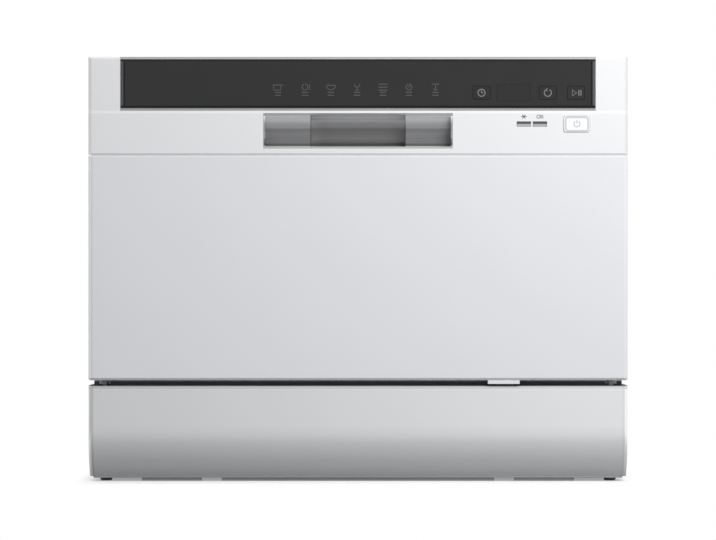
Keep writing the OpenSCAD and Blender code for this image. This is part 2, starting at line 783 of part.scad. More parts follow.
// A ribbed hose from the pump back to the outlet in the bay
drain_hose_y = filter_y + 40;
rib_pitch = 6;
module drain_hose() color("#3c3e41") {
    length = bay_y - 13 - drain_hose_y;
    ribs = floor((length - 20) / rib_pitch);
    wall = concat([[7.5, 0], [10, 0], [10, 10]],
        [for (i = [0 : ribs - 1], step = [0 : 1])
            [step == 0 ? 9 : 10.6, 10 + (i + step * 0.5 + 0.25) * rib_pitch]],
        [[10, length - 8], [10, length], [7.5, length]]);
    translate([drain_x, drain_hose_y, drain_z]) rotate([-90, 0, 0]) rotate_extrude() polygon(wall);
}

module drain_outlet() color("#2b2c2e") {
    difference() {
        union() {
            rod_y(bay_y - 12.5, bay_y + 8, drain_x, drain_z, drain_r);
            rod_y(bay_y + tray_wall, bay_y + tray_wall + 2.5, drain_x, drain_z, drain_r + 5);
            rod_y(bay_y + 4, bay_y + tray_wall + nipple_l, drain_x, drain_z, drain_r);
        }
        rod_y(bay_y - 14, rear_y, drain_x, drain_z, drain_r - 2.5);
    }
}

module inlet_valve() color("whitesmoke") {
    difference() {
        union() {
            rod_y(bay_y - 30, bay_y + 8, inlet_x, inlet_z, inlet_r - 1);
            rod_y(bay_y + tray_wall, bay_y + tray_wall + 2.5, inlet_x, inlet_z, inlet_r + 4);
            rod_y(bay_y + 4, bay_y + tray_wall + nipple_l, inlet_x, inlet_z, inlet_r);
            // coil
            rod_z(inlet_z, inlet_z + 40, inlet_x, bay_y - 18, 11);
            block(inlet_x - 15, inlet_x + 15, bay_y - 33, bay_y - 3, inlet_z + 14, inlet_z + 34);
            rod_x(inlet_x - 34, inlet_x, bay_y - 18, inlet_z, 6);
        }
        rod_y(bay_y - 8, rear_y, inlet_x, inlet_z, inlet_r - 4);
    }
}

box_neck_y = spray_y + 40;
box_y0 = box_neck_y - 110;
box_z0 = tub_floor + 37;
box_z1 = tub_top - 40;
neck_drop = 70;
box_neck_z = box_z1 - neck_drop;
box_neck_r = 15;
module water_box() color("gainsboro") {
    outer_x = -fit_x + 1;
    inner_x = -tub_x - tub_t - seat_gap;
    difference() {
        union() {
            thick_x(outer_x, inner_x - 3) soft_rect(box_y0, box_y0 + 180, box_z0, box_z1, 10);
            rod_x(inner_x - 4, inner_x, box_neck_y, box_neck_z, box_neck_r + 8);
            rod_x(inner_x - 1, -tub_x + 3, box_neck_y, box_neck_z, box_neck_r);
        }
        rod_x(inner_x - 10, -tub_x + 4, box_neck_y, box_neck_z, box_neck_r - 3);
        // channels of the moulding, on the outer face
        for (i = [0 : 4])
            thick_x(outer_x - 1, outer_x + 3)
                soft_rect(box_y0 + 10 + i * 33, box_y0 + 34 + i * 33, box_z0 + 10, box_z1 - 10, 6);
    }
}

module cord_gland() color("#1e1f21") {
    difference() {
        union() {
            rod_y(tray_rear_y - tray_wall - 4, tray_rear_y, gland_x, gland_z, gland_r);
            rod_y(tray_rear_y, rear_y - 0.2, gland_x, gland_z, gland_r + 3);
            rod_y(tray_rear_y - tray_wall - 9, tray_rear_y - tray_wall, gland_x, gland_z, gland_r + 3);
        }
        rod_y(tray_rear_y - tray_wall - 12, rear_y + 1, gland_x, gland_z, gland_r - 4);
    }
}

// Latch: a tongue on the tub passes between two sprung jaws in the door

latch_z = body_h - 9;
tongue_end_y = return_y + 12;
tongue_w = 12;
jaw_gap = 2.8;
jaw_t = 1.8;
module latch_striker() color("silver") {
    // foot on the tub's flange, above the gasket
    block(-tongue_w / 2 - 8, tongue_w / 2 + 8, tub_y0 - 1.5, tub_y0,
        tub_top + gasket_w + 0.5, latch_z + 4.5);
    block(-tongue_w / 2, tongue_w / 2, tongue_end_y, tub_y0 - 1, latch_z - 1.5, latch_z + 1.5);
    rod_x(-tongue_w / 2, tongue_w / 2, tongue_end_y, latch_z, 2.2);
}

module latch_catch() color("#d8dadb") {
    block(-tongue_w / 2 - 10, tongue_w / 2 + 10, return_y - 8, return_y - 4,
        latch_z - 12, body_h - panel_wall - 0.5);
    for (z = [latch_z + jaw_gap, latch_z - jaw_gap - jaw_t])
        block(-tongue_w / 2 - 3, tongue_w / 2 + 3, return_y - 5, liner_y - liner_t - seat_gap, z, z + jaw_t);
}

// Hinge

bracket_y0 = axis_y + 38;
bracket_y1 = axis_y + 76;
module hinge_bracket(side)
    mirror([side > 0 ? 0 : 1, 0, 0]) {
        difference() {
            union() {
                thick_x(bracket_x, bracket_x + bracket_t) union() {
                    translate([axis_y, axis_z]) circle(pin_r + 6);
                    polygon([[axis_y - 8, axis_z - 6], [axis_y + 9, axis_z + 4],
                        [bracket_y1, axis_z - 20], [bracket_y1, tray_top], [bracket_y0, tray_top]]);
                }
                // foot of the bracket, on the tray
                block(bracket_x - bracket_foot_w, bracket_x + 1, bracket_y0, bracket_y1,
                    tray_top, tray_top + bracket_t);
            }
            for (y = [bracket_y0 + 9, bracket_y1 - 9])
                rod_z(tray_top - 1, tray_top + bracket_t + 1, bracket_x - bracket_foot_w / 2, y, 2.2);
        }
        // pin with its head
        rod_x(bracket_x + 1, arm_x + arm_t + 1, axis_y, axis_z, pin_r);
        rod_x(arm_x + arm_t + 0.6, arm_x + arm_t + 2.6, axis_y, axis_z, pin_r + 2);
    }

module hinge_bracket_left() color("#a7abae") hinge_bracket(-1);
module hinge_bracket_right() color("#a7abae") hinge_bracket(1);

// The arm goes back from the pin and up behind the kickplate's edge into the door. When the door
// is down its upright part lies over that edge
arm_front_y = axis_y + kick_top - axis_z + 1.5;
arm_back_y = liner_y - liner_t - seat_gap - 0.1;
plate_front_y = axis_y + 8;
plate_z = door_z + 2.5;
plate_h = 90;
module hinge_arm(side)
    mirror([side > 0 ? 0 : 1, 0, 0]) difference() {
        thick_x(arm_x, arm_x + arm_t) union() {
            translate([axis_y, axis_z]) circle(eye_r);
            translate([axis_y, axis_z - eye_r]) square([arm_back_y - 0.1 - axis_y, 2 * eye_r]);
            translate([arm_front_y, axis_z - eye_r])
                square([arm_back_y - 0.1 - arm_front_y, plate_z + 6 - axis_z + eye_r]);
            translate([plate_front_y, plate_z]) square([arm_back_y - plate_front_y, plate_h]);
        }
        rod_x(arm_x - 1, arm_x + arm_t + 1, axis_y, axis_z, pin_r + 0.3);
        for (z = [plate_z + 27.5, plate_z + plate_h - 20.5])
            rod_x(arm_x - 1, arm_x + arm_t + 1, plate_front_y + 11, z, 2.4);
    }

module hinge_arm_left() color("#a7abae") hinge_arm(-1);
module hinge_arm_right() color("#a7abae") hinge_arm(1);

// Door

// Slots that let the hinge arms up into the door
module arm_slots(y1, z0, z1)
    for (side = [0, 1])
        mirror([side, 0, 0]) block(arm_x - 1, arm_x + arm_t + 1, plate_front_y - 1, y1, z0, z1);

module door_front_panel() color("whitesmoke") {
    difference() {
        faced_block(door_x, white_y, return_y, door_z, seam_z, edge_r, lip_r, 1);
        faced_block(door_x - front_sheet, white_y + front_sheet, return_y + 1, door_z + front_sheet,
            seam_z - front_sheet, edge_r - front_sheet, lip_r - front_sheet, 0.4);
        arm_slots(return_y + 1, door_z - 1, door_z + 2);
    }
}

module door_liner() color("silver") {
    difference() {
        thick_y(return_y, liner_y) soft_rect(-liner_x, liner_x, liner_z, liner_top, 4);
        thick_y(return_y - 1, liner_y - liner_t)
            soft_rect(-liner_x + liner_t, liner_x - liner_t, liner_z + liner_t, liner_top - liner_t, 3);
        // pocket of the dispenser
        thick_y(liner_y - 3, liner_y + 1)
            soft_rect(disp_x - disp_w / 2 - seat_gap, disp_x + disp_w / 2 + seat_gap,
                disp_z - disp_h / 2 - seat_gap, disp_z + disp_h / 2 + seat_gap, 8);
        // slot of the latch
        block(-tongue_w / 2 - 2, tongue_w / 2 + 2, liner_y - 3, liner_y + 1, latch_z - 3.4, latch_z + 3.4);
        arm_slots(liner_y - liner_t - 0.1, liner_z - 1, liner_z + 2);
        for (p = liner_holes) rod_y(liner_y - 3, liner_y + 1, p[0], p[1], 2.2);
    }
    // raised rails that the basket's wheels roll on when the door is down
    for (side = [-1, 1])
        thick_y(liner_y, liner_y + tub_floor - axis_z - (liner_y - axis_y))
            soft_rect(side * wheel_mid_x - wheel_w / 2 - 5, side * wheel_mid_x + wheel_w / 2 + 5,
                tub_floor + 16, tub_top - 40, 4);
}

liner_edge = 7;
liner_holes = [for (side = [-1, 1], z = spread(liner_z + 104.7, liner_top - 60, 3))
    [side * (liner_x - liner_edge), z]];
module liner_screws() color("dimgray")
    for (p = liner_holes) {
        rod_y(liner_y - liner_t - 5, liner_y, p[0], p[1], 2);
        rod_y(liner_y, liner_y + 2, p[0], p[1], 3.6);
    }

module control_panel() color("whitesmoke") {
    inner_y = white_y + panel_wall;
    difference() {
        union() {
            difference() {
                faced_block(door_x, white_y, return_y, panel_z, body_h, edge_r, 1, lip_r);
                faced_block(door_x - panel_wall, inner_y, return_y + 1, panel_z + panel_wall,
                    body_h - panel_wall, edge_r - 1, 0.5, 0.5);
            }
            // floor of the pocket that the strip is set in
            block(-fascia_w / 2 - 4, fascia_w / 2 + 4, inner_y - 1, pocket_y + panel_wall,
                fascia_z - 6, body_h - 1);
        }
        // pocket of the strip
        block(-fascia_w / 2 - seat_gap, fascia_w / 2 + seat_gap, front_y - 1, pocket_y + 0.01,
            fascia_z - fascia_bevel - seat_gap, fascia_top + seat_gap);
        block(-handle_w / 2 - seat_gap, handle_w / 2 + seat_gap, front_y, return_y,
            handle_z - seat_gap, handle_top + seat_gap);
        for (x = button_x)
            block(x - button_w / 2 - 2.4, x + button_w / 2 + 2.4, front_y, return_y,
                control_z - button_h / 2 - 2.4, control_z + button_h / 2 + 2.4);
        block(window_x - window_w / 2 + 1, window_x + window_w / 2 - 1, front_y, return_y,
            control_z - window_h / 2 + 1, control_z + window_h / 2 - 1);
        thick_y(front_y, return_y)
            soft_rect(power_x - power_w / 2 - run_gap, power_x + power_w / 2 + run_gap,
                power_z - power_h / 2 - run_gap, power_z + power_h / 2 + run_gap, 2 + run_gap);
        for (x = lamp_x)
            block(x - lamp_w / 2 - seat_gap, x + lamp_w / 2 + seat_gap, front_y, return_y,
                lamp_z - lamp_h / 2 - seat_gap, lamp_z + lamp_h / 2 + seat_gap);
    }
}

module fascia() color("#26282c") {
    x = fascia_w / 2;
    z0 = fascia_z - fascia_bevel;
    difference() {
        intersection() {
            thick_x(-x, x) polygon([[pocket_y, z0], [fascia_y + 1, z0], [fascia_y, fascia_z],
                [fascia_y, fascia_top], [pocket_y, fascia_top]]);
            thick_z(z0, fascia_top) polygon([[-x, pocket_y], [-x, fascia_y + 0.8], [-x + 2, fascia_y],
                [x - 2, fascia_y], [x, fascia_y + 0.8], [x, pocket_y]]);
        }
        for (bx = button_x)
            thick_y(fascia_y - 1, pocket_y + 1)
                soft_rect(bx - button_w / 2 - run_gap, bx + button_w / 2 + run_gap,
                    control_z - button_h / 2 - run_gap, control_z + button_h / 2 + run_gap, 1.5 + run_gap);
        thick_y(fascia_y - 1, pocket_y + 1)
            soft_rect(window_x - window_w / 2, window_x + window_w / 2,
                control_z - window_h / 2, control_z + window_h / 2, 1.5);
    }
}

module display_window() color("#101114")
    thick_y(fascia_y, pocket_y)
        soft_rect(window_x - window_w / 2 + 0.2, window_x + window_w / 2 - 0.2,
            control_z - window_h / 2 + 0.2, control_z + window_h / 2 - 0.2, 1.3);

// A button with a face, a collar behind the strip and a stem towards the board
module push_button(x, z, w, h, face_y, collar_y, stem_end_y, r) {
    thick_y(face_y, collar_y + 0.5) soft_rect(x - w / 2, x + w / 2, z - h / 2, z + h / 2, r);
    block(x - w / 2 - 1.4, x + w / 2 + 1.4, collar_y, collar_y + 1, z - h / 2 - 1.4, z + h / 2 + 1.4);
    rod_y(collar_y, stem_end_y, x, z, 2.5);
}

strip_collar_y = pocket_y + 0.3;
switch_y = board_y - 2.4;
module strip_button(i)
    push_button(button_x[i], control_z, button_w, button_h, front_y, strip_collar_y,
        switch_y - button_travel - 0.3, 1.5);
module button_delay() color("#34373b") strip_button(0);
module button_program() color("#34373b") strip_button(1);
module button_start() color("#34373b") strip_button(2);
module power_button() color("white")
    push_button(power_x, power_z, power_w, power_h, power_y, white_y + panel_wall + 0.3,
        switch_y - power_travel - 0.3, 2);

module indicator_lamps() color("#8b8f94")
    for (x = lamp_x)
        block(x - lamp_w / 2, x + lamp_w / 2, white_y - 0.1, board_y - 0.6, lamp_z - lamp_h / 2, lamp_z + lamp_h / 2);

board_x0 = button_x[0] - 23.8;
board_x1 = door_x - 29;
board_z0 = power_z - 14;
board_z1 = fascia_top - 6;
module control_board() color("#2f5a3c") {
    difference() {
        block(board_x0, board_x1, board_y, board_y + 1.6, board_z0, board_z1);
        for (x = [board_x0 + 6, board_x1 - 6], z = [board_z0 + 5, board_z1 - 5])
            rod_y(board_y - 1, board_y + 3, x, z, 1.6);
    }
    // switches behind the buttons
    for (x = button_x) rod_y(switch_y, board_y + 0.5, x, control_z, 3);
    rod_y(switch_y, board_y + 0.5, power_x, power_z, 3);
    // lamps and display
    for (x = lamp_x) block(x - 2, x + 2, board_y - 0.5, board_y + 0.5, lamp_z - 2, lamp_z + 2);
    block(window_x - window_w / 2 + 2.3, window_x + window_w / 2 - 2.3, pocket_y + 0.6, board_y + 0.5,
        control_z - window_h / 2 + 1.75, control_z + window_h / 2 - 1.75);
    block(board_x0 + 10, board_x0 + 44, board_y + 1, board_y + 12, power_z, power_z + 22);
}

// The recess: a shallow trough with a crease at half height and a deeper cavity in its middle
module trough_section(inset)
    polygon([[front_y - 2, handle_z + inset], [white_y + handle_depth - inset, handle_z + inset],
        [white_y + handle_depth - inset, handle_z + handle_h * 0.28],
        [white_y + handle_depth * 0.62 - inset, handle_z + handle_h * 0.58],
        [white_y + handle_depth * 0.5 - inset, handle_top - inset], [front_y - 2, handle_top - inset]]);

module cavity_section(inset)
    polygon([[front_y - 2, handle_z + inset], [white_y + finger_depth - 6 - inset, handle_z + inset],
        [white_y + finger_depth - inset, handle_z + 7], [white_y + finger_depth - inset, handle_top + 4 - inset],
        [pocket_y + panel_wall + 0.4 + inset, handle_top + 4 - inset],
        [pocket_y + panel_wall + 0.4 + inset, handle_top - inset], [front_y - 2, handle_top - inset]]);

module handle_cup() color("#6f7276") {
    difference() {
        union() {
            intersection() {
                thick_x(-handle_w / 2, handle_w / 2) trough_section(0);
                block(-handle_w / 2, handle_w / 2, white_y, liner_y, 0, body_h);
            }
            intersection() {
                thick_x(-finger_w / 2 - cup_wall, finger_w / 2 + cup_wall) cavity_section(0);
                block(-handle_w, handle_w, white_y, liner_y, 0, body_h);
            }
        }
        thick_x(-handle_w / 2 + cup_wall, handle_w / 2 - cup_wall) trough_section(cup_wall);
        thick_x(-finger_w / 2, finger_w / 2) cavity_section(cup_wall);
    }
}

vent_x = [132.4, 164.8];
module vent_spout() color("gainsboro") {
    difference() {
        block(vent_x[0], vent_x[1], white_y + 1, white_y + 6, door_z - 3.7, door_z);
        block(vent_x[0] + 1.5, vent_x[1] - 1.5, white_y + 2.2, white_y + 5, door_z - 4, door_z - 1);
    }
}

// Detergent dispenser

disp_x = 60;
disp_w = 190;
disp_h = 112;
disp_z = axis_z + 170;
lid_w = 74;
lid_h = 62;
lid_x = disp_x - 52;
lid_travel = 40;
lid_y = liner_y + 3.4;
rinse_x = disp_x + 64;
rinse_z = disp_z - 24;
rinse_r = 16;
module dispenser_body() color("gainsboro") {
    difference() {
        union() {
            thick_y(liner_y - 20, liner_y + 0.4)
                soft_rect(disp_x - disp_w / 2, disp_x + disp_w / 2, disp_z - disp_h / 2, disp_z + disp_h / 2, 8);
            thick_y(liner_y, liner_y + 3)
                soft_rect(disp_x - disp_w / 2 - 5, disp_x + disp_w / 2 + 5,
                    disp_z - disp_h / 2 - 5, disp_z + disp_h / 2 + 5, 10);
        }
        // chamber for the detergent
        thick_y(liner_y - 18, liner_y + 4)
            soft_rect(lid_x - lid_w / 2 + 6, lid_x + lid_w / 2 - 6, disp_z - lid_h / 2 + 6, disp_z + lid_h / 2 - 6, 6);
        // filler of the rinse aid tank
        rod_y(liner_y - 10, liner_y + 4, rinse_x, rinse_z, rinse_r - 3 + run_gap);
    }
    // guides of the lid
    for (z = [disp_z - lid_h / 2 - 2.6, disp_z + lid_h / 2 + run_gap])
        block(lid_x - lid_w / 2, lid_x + lid_w / 2 + lid_travel, liner_y + 2.5, liner_y + 6.4, z, z + 2.2);
}

module dispenser_lid() color("#d2d5d7") {
    thick_y(lid_y, lid_y + 2.2) soft_rect(lid_x - lid_w / 2, lid_x + lid_w / 2, disp_z - lid_h / 2, disp_z + lid_h / 2, 5);
    block(lid_x - 20, lid_x - 14, lid_y + 2, lid_y + 5, disp_z - 18, disp_z + 18);
}

module rinse_cap() color("#7d93a5") {
    rod_y(liner_y - 8, liner_y + 4, rinse_x, rinse_z, rinse_r - 3);
    rod_y(liner_y + 3.4, liner_y + 6, rinse_x, rinse_z, rinse_r);
    block(rinse_x - rinse_r + 3, rinse_x + rinse_r - 3, liner_y + 5, liner_y + 8.4, rinse_z - 2, rinse_z + 2);
}

// Basket

function spread(a, b, n) = [for (i = [0 : n - 1]) a + (b - a) * i / (n - 1)];
function inner(list) = [for (i = [1 : len(list) - 2]) list[i]];

module wire_x(x0, x1, y, z, r = wire_r) rod_x(x0, x1, y, z, r, $fn = 8);
module wire_y(y0, y1, x, z, r = wire_r) rod_y(y0, y1, x, z, r, $fn = 8);
module wire_z(z0, z1, x, y, r = wire_r) rod_z(z0, z1, x, y, r, $fn = 8);

// One side of the basket, as wires from rail to rail with a rim
module side_grid(side) {
    x = side * rack_x;
    wire_y(rack_y0 - rim_r, rack_y1 + rim_r, x, rim_z, rim_r);
    for (z = [rack_z, mid_rail_z]) wire_y(rack_y0 - wire_r, rack_y1 + wire_r, x, z);
    for (y = spread(rack_y0, rack_y1, side_posts)) wire_z(rack_z - wire_r, rim_z, x, y);
}

// The front or the back of the basket, whose rails end against the sides
module end_grid(y) {
    rim_x1 = rack_x - rim_r - seat_gap;
    rail_x1 = rack_x - wire_r - seat_gap;
    wire_x(-rim_x1, rim_x1, y, rim_z, rim_r);
    for (z = [rack_z + wire_r, mid_rail_z]) wire_x(-rail_x1, rail_x1, y, z);
    for (x = inner(spread(-rack_x, rack_x, floor_cols))) wire_z(rack_z - wire_r, rim_z, x, y);
}

module rack_walls() color("#c9cdd0") {
    for (side = [-1, 1]) side_grid(side);
    for (y = [rack_y0, rack_y1]) end_grid(y);
}

// The basket's floor, whose wires end against the walls
module rack_basket() color("#c9cdd0") {
    inset = wire_r + seat_gap;
    for (x = inner(spread(-rack_x, rack_x, floor_cols)))
        wire_y(rack_y0 + inset, rack_y1 - inset, x, rack_z);
    for (y = inner(spread(rack_y0, rack_y1, floor_rows)))
        wire_x(-rack_x + inset, rack_x - inset, y, rack_z + wire_r);
}

// Two combs of tines that hold the plates, each on a wire over the floor's wires
module rack_tines() color("#c9cdd0")
    for (x = tine_x) {
        rows = inner(spread(rack_y0, rack_y1, floor_rows));
        foot_z = rack_z + 3 * wire_r + seat_gap;
        wire_y(rows[0] - wire_r, rows[len(rows) - 1] + wire_r, x, foot_z);
        for (y = rows) wire_z(foot_z, rack_z + tine_h, x, y);
    }

// Wheel carriers that clip round the floor's wires, with axles, and the rod that the shelf turns on
module rack_carriers() color("#c9cdd0") {
    for (side = [0, 1], y = wheel_y) mirror([side, 0, 0]) {
        difference() {
            block(carrier_x - 3, carrier_x, y - 8, y + 8, axle_z - 7, rack_z + 2 * wire_r + 1.4);
            rod_x(carrier_x - 4, carrier_x + 1, y, rack_z + wire_r, wire_r + seat_gap);
        }
        rod_x(carrier_x - 1, carrier_x + 2 * run_gap + wheel_w + 2, y, axle_z, axle_r);
        rod_x(carrier_x + 2 * run_gap + wheel_w, carrier_x + 2 * run_gap + wheel_w + 2, y, axle_z, axle_r + 2);
    }
    wire_y(shelf_arm_y[0], shelf_arm_y[1], shelf_x, shelf_z, 2);
    for (y = shelf_arm_y)
        block(-rack_x + wire_r + seat_gap, shelf_x + 1, y - 3, y + 3, shelf_z - 1.5, shelf_z + 1.5);
}

module rack_wheel(side, y) {
    x0 = carrier_x + run_gap;
    mirror([side > 0 ? 0 : 1, 0, 0]) difference() {
        rod_x(x0, x0 + wheel_w, y, axle_z, wheel_r);
        rod_x(x0 - 1, x0 + wheel_w + 1, y, axle_z, axle_r + 0.3);
        // hollows of the wheel's face
        difference() {
            rod_x(x0 + wheel_w - 2, x0 + wheel_w + 1, y, axle_z, wheel_r - 2);
            rod_x(x0 + wheel_w - 3, x0 + wheel_w + 2, y, axle_z, axle_r + 2.6);
        }
    }
}

module wheel_front_left() color("#d8dadb") rack_wheel(-1, wheel_y[0]);
module wheel_front_right() color("#d8dadb") rack_wheel(1, wheel_y[0]);
module wheel_rear_left() color("#d8dadb") rack_wheel(-1, wheel_y[1]);
module wheel_rear_right() color("#d8dadb") rack_wheel(1, wheel_y[1]);

shelf_inset = 62;
shelf_y0 = rack_y0 + shelf_inset;
shelf_y1 = rack_y1 - shelf_inset;
module cup_shelf() color("#aab0b6") {
    // two eyes on the rod
    for (y = [shelf_y0, shelf_y1 - 8])
        difference() {
            union() {
                rod_y(y, y + 8, shelf_x, shelf_z, 5.2);
                block(shelf_x, shelf_x + 12, y, y + 8, shelf_z - 2, shelf_z + 2);
            }
            rod_y(y - 1, y + 9, shelf_x, shelf_z, 2.4);
        }
    // frame and slats
    for (x = [shelf_x + 10, shelf_x + shelf_w]) block(x - 2, x + 2, shelf_y0, shelf_y1, shelf_z - 2, shelf_z + 2);
    for (y = spread(shelf_y0 + 2, shelf_y1 - 2, 11))
        block(shelf_x + 10, shelf_x + shelf_w, y - 1.5, y + 1.5, shelf_z - 1.5, shelf_z + 1.5);
}

module cutlery_basket() color("#8e959b") {
    z0 = rack_z + 2 * wire_r + run_gap;
    wall = 1.8;
    x0 = cutlery_x - cutlery_w / 2;
    y0 = cutlery_y - cutlery_d / 2;
    difference() {
        thick_z(z0, z0 + cutlery_h) soft_rect(x0, x0 + cutlery_w, y0, y0 + cutlery_d, 8);
        thick_z(z0 + wall, z0 + cutlery_h + 1)
            soft_rect(x0 + wall, x0 + cutlery_w - wall, y0 + wall, y0 + cutlery_d - wall, 8 - wall);
        // slots in the walls and the floor
        for (i = [0 : 6]) {
            block(x0 - 1, x0 + cutlery_w + 1, y0 + 11 + i * 12.5, y0 + 17 + i * 12.5, z0 + 10, z0 + cutlery_h - 20);
        }
        for (i = [0 : 5]) {
            block(x0 + 12 + i * 12.5, x0 + 18 + i * 12.5, y0 - 1, y0 + cutlery_d + 1, z0 + 10, z0 + cutlery_h - 20);
            block(x0 + 12 + i * 12.5, x0 + 18 + i * 12.5, y0 + 10, y0 + cutlery_d - 10, z0 - 1, z0 + wall + 1);
        }
    }
    // handle over the middle
    for (side = [-1, 1])
        block(cutlery_x - 3, cutlery_x + 3, cutlery_y + side * (cutlery_d / 2 - wall / 2) - 1.8,
            cutlery_y + side * (cutlery_d / 2 - wall / 2) + 1.8, z0 + cutlery_h - 12, z0 + cutlery_h + 26);
    block(cutlery_x - 5, cutlery_x + 5, y0 - 0.9, y0 + cutlery_d + 0.9, z0 + cutlery_h + 22, z0 + cutlery_h + 27);
}

cabinet_shell();
back_panel();
back_screws();
base_tray();
tray_supports();
feet();
kickplate();
tub();
door_gasket();
bottom_seal();
sump();
filter_plate();
filter_cup();
softener();
salt_cap();
spray_riser();
spray_arm();
wash_pump();
wash_hose();
flow_heater();
drain_pump();
drain_hose();
drain_outlet();
inlet_valve();
water_box();
cord_gland();
latch_striker();
hinge_bracket_left();
hinge_bracket_right();
hinge_arm_left();
hinge_arm_right();
control_panel();
fascia();
display_window();
button_delay();
button_program();
button_start();
power_button();
indicator_lamps();
handle_cup();
control_board();
door_front_panel();
door_liner();
liner_screws();
latch_catch();
dispenser_body();
dispenser_lid();
rinse_cap();
vent_spout();
rack_basket();
rack_walls();
rack_tines();
rack_carriers();
wheel_front_left();
wheel_front_right();
wheel_rear_left();
wheel_rear_right();
cup_shelf();
cutlery_basket();
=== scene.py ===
"""Countertop dishwasher: finishes, print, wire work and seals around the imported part.

Every length is in metres in the part's own frame: X to the right, Y to the back and Z up from
the worktop. The front faces -Y.
"""
import json
import logging
import math
from dataclasses import dataclass, field
from enum import Enum

import bmesh
import bpy
import numpy as np
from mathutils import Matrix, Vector


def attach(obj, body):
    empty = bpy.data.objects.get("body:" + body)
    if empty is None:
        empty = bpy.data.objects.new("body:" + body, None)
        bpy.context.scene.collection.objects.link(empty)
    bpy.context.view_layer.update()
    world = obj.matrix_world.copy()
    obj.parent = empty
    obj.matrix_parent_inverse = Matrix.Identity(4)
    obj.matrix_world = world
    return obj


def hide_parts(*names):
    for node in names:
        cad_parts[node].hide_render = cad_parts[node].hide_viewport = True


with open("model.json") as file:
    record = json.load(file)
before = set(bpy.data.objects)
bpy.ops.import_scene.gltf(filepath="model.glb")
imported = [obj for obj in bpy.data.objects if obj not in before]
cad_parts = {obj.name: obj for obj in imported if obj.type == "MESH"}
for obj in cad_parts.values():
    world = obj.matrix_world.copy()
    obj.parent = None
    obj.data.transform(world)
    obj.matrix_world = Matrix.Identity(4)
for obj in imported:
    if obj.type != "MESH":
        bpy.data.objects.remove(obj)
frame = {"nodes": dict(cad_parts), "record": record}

log = logging.getLogger("dishwasher")
Array = np.ndarray
Pair = tuple[float, float]
Triple = tuple[float, float, float]
Faces = list[tuple[int, ...]]
Socket = bpy.types.NodeSocket


# Surfaces


@dataclass
class Patch:
    """A bare surface: its points and its faces, each face a tuple of point numbers."""

    points: Array
    faces: Faces


def joined(patches: list[Patch]) -> Patch:
    """Puts several patches in one.

    Args:
        patches: the patches, in order.

    Returns:
        One patch whose points follow each other in that order.
    """
    starts = np.cumsum([0] + [len(p.points) for p in patches])
    faces = [tuple(int(i + start) for i in face) for p, start in zip(patches, starts) for face in p.faces]
    return Patch(np.concatenate([p.points for p in patches]), faces)


def grid_faces(rows: int, cols: int, wrap: bool = False) -> Faces:
    """Quads between neighbours of a grid of points that is stored ring after ring.

    Args:
        rows: number of rings.
        cols: number of points in a ring.
        wrap: whether the last ring joins the first.

    Returns:
        One tuple of four point numbers for each quad.
    """
    i = np.arange(rows if wrap else rows - 1)[:, None]
    j = np.arange(cols)[None, :]
    here, below = i * cols, ((i + 1) % rows) * cols
    right = (j + 1) % cols
    quads = np.stack([here + j, below + j, below + right, here + right], axis=-1).reshape(-1, 4)
    return [tuple(q) for q in quads.tolist()]


def tube_faces(rows: int, cols: int) -> Faces:
    """Quads of a tube that is stored ring after ring, and a flat face at each of its ends."""
    return [*grid_faces(rows, cols), tuple(range(cols)), tuple(range((rows - 1) * cols, rows * cols))[::-1]]


def sweep(path: Array, section: Array, normal: Array, closed: bool, scale: Array | None = None) -> Patch:
    """Carries a closed section along a flat path.

    Point (i, j) is path[i] + a * section[j, 0] + normal * section[j, 1], where a is the tangent at
    path[i] crossed with the normal. An open path is closed by a flat face at each end.

    Args:
        path: points of the path, in a plane at right angles to normal.
        section: closed outline, first across the path and then along normal.
        normal: unit vector of the path's plane.
        closed: whether the path's end joins its start.
        scale: how much larger the section is at each point of the path.

    Returns:
        The swept surface.
    """
    normal = np.asarray(normal, float)
    if closed:
        tangent = np.roll(path, -1, axis=0) - np.roll(path, 1, axis=0)
    else:
        tangent = np.gradient(path, axis=0)
    tangent /= np.linalg.norm(tangent, axis=1, keepdims=True)
    across = np.cross(tangent, normal)
    size = np.ones(len(path)) if scale is None else scale
    points = (
        path[:, None, :]
        + across[:, None, :] * section[None, :, 0, None] * size[:, None, None]
        + normal[None, None, :] * section[None, :, 1, None] * size[:, None, None]
    )
    rows, cols = len(path), len(section)
    return Patch(points.reshape(-1, 3), grid_faces(rows, cols, True) if closed else tube_faces(rows, cols))


def circle(radius: float, sides: int) -> Array:
    """Outline of a circle, as (radius cos t, radius sin t)."""
    t = np.linspace(0, 2 * math.pi, sides, endpoint=False)
    return np.stack([np.cos(t), np.sin(t)], axis=1) * radius


def rod(path: Array, radius: float, normal: Array, closed: bool = False, sides: int = 10) -> Patch:
    """A round wire along a flat path, with half round ends where the path is open.

    Each end gets three more points, at radius * sin t beyond the path with the radius times cos t.

    Args:
        path: points of the wire's middle.
        radius: the wire's radius.
        normal: unit vector of the path's plane.
        closed: whether the wire is a ring.
        sides: number of faces round the wire.

    Returns:
        The wire's surface.
    """
    if closed:
        return sweep(path, circle(radius, sides), normal, True)
    t = np.radians([80.0, 55.0, 28.0])
    first = (path[0] - path[1]) / np.linalg.norm(path[0] - path[1])
    last = (path[-1] - path[-2]) / np.linalg.norm(path[-1] - path[-2])
    head = path[0] + first * (np.sin(t) * radius)[:, None]
    tail = (path[-1] + last * (np.sin(t) * radius)[:, None])[::-1]
    size = np.concatenate([np.cos(t), np.ones(len(path)), np.cos(t)[::-1]])
    return sweep(np.concatenate([head, path, tail]), circle(radius, sides), normal, False, size)


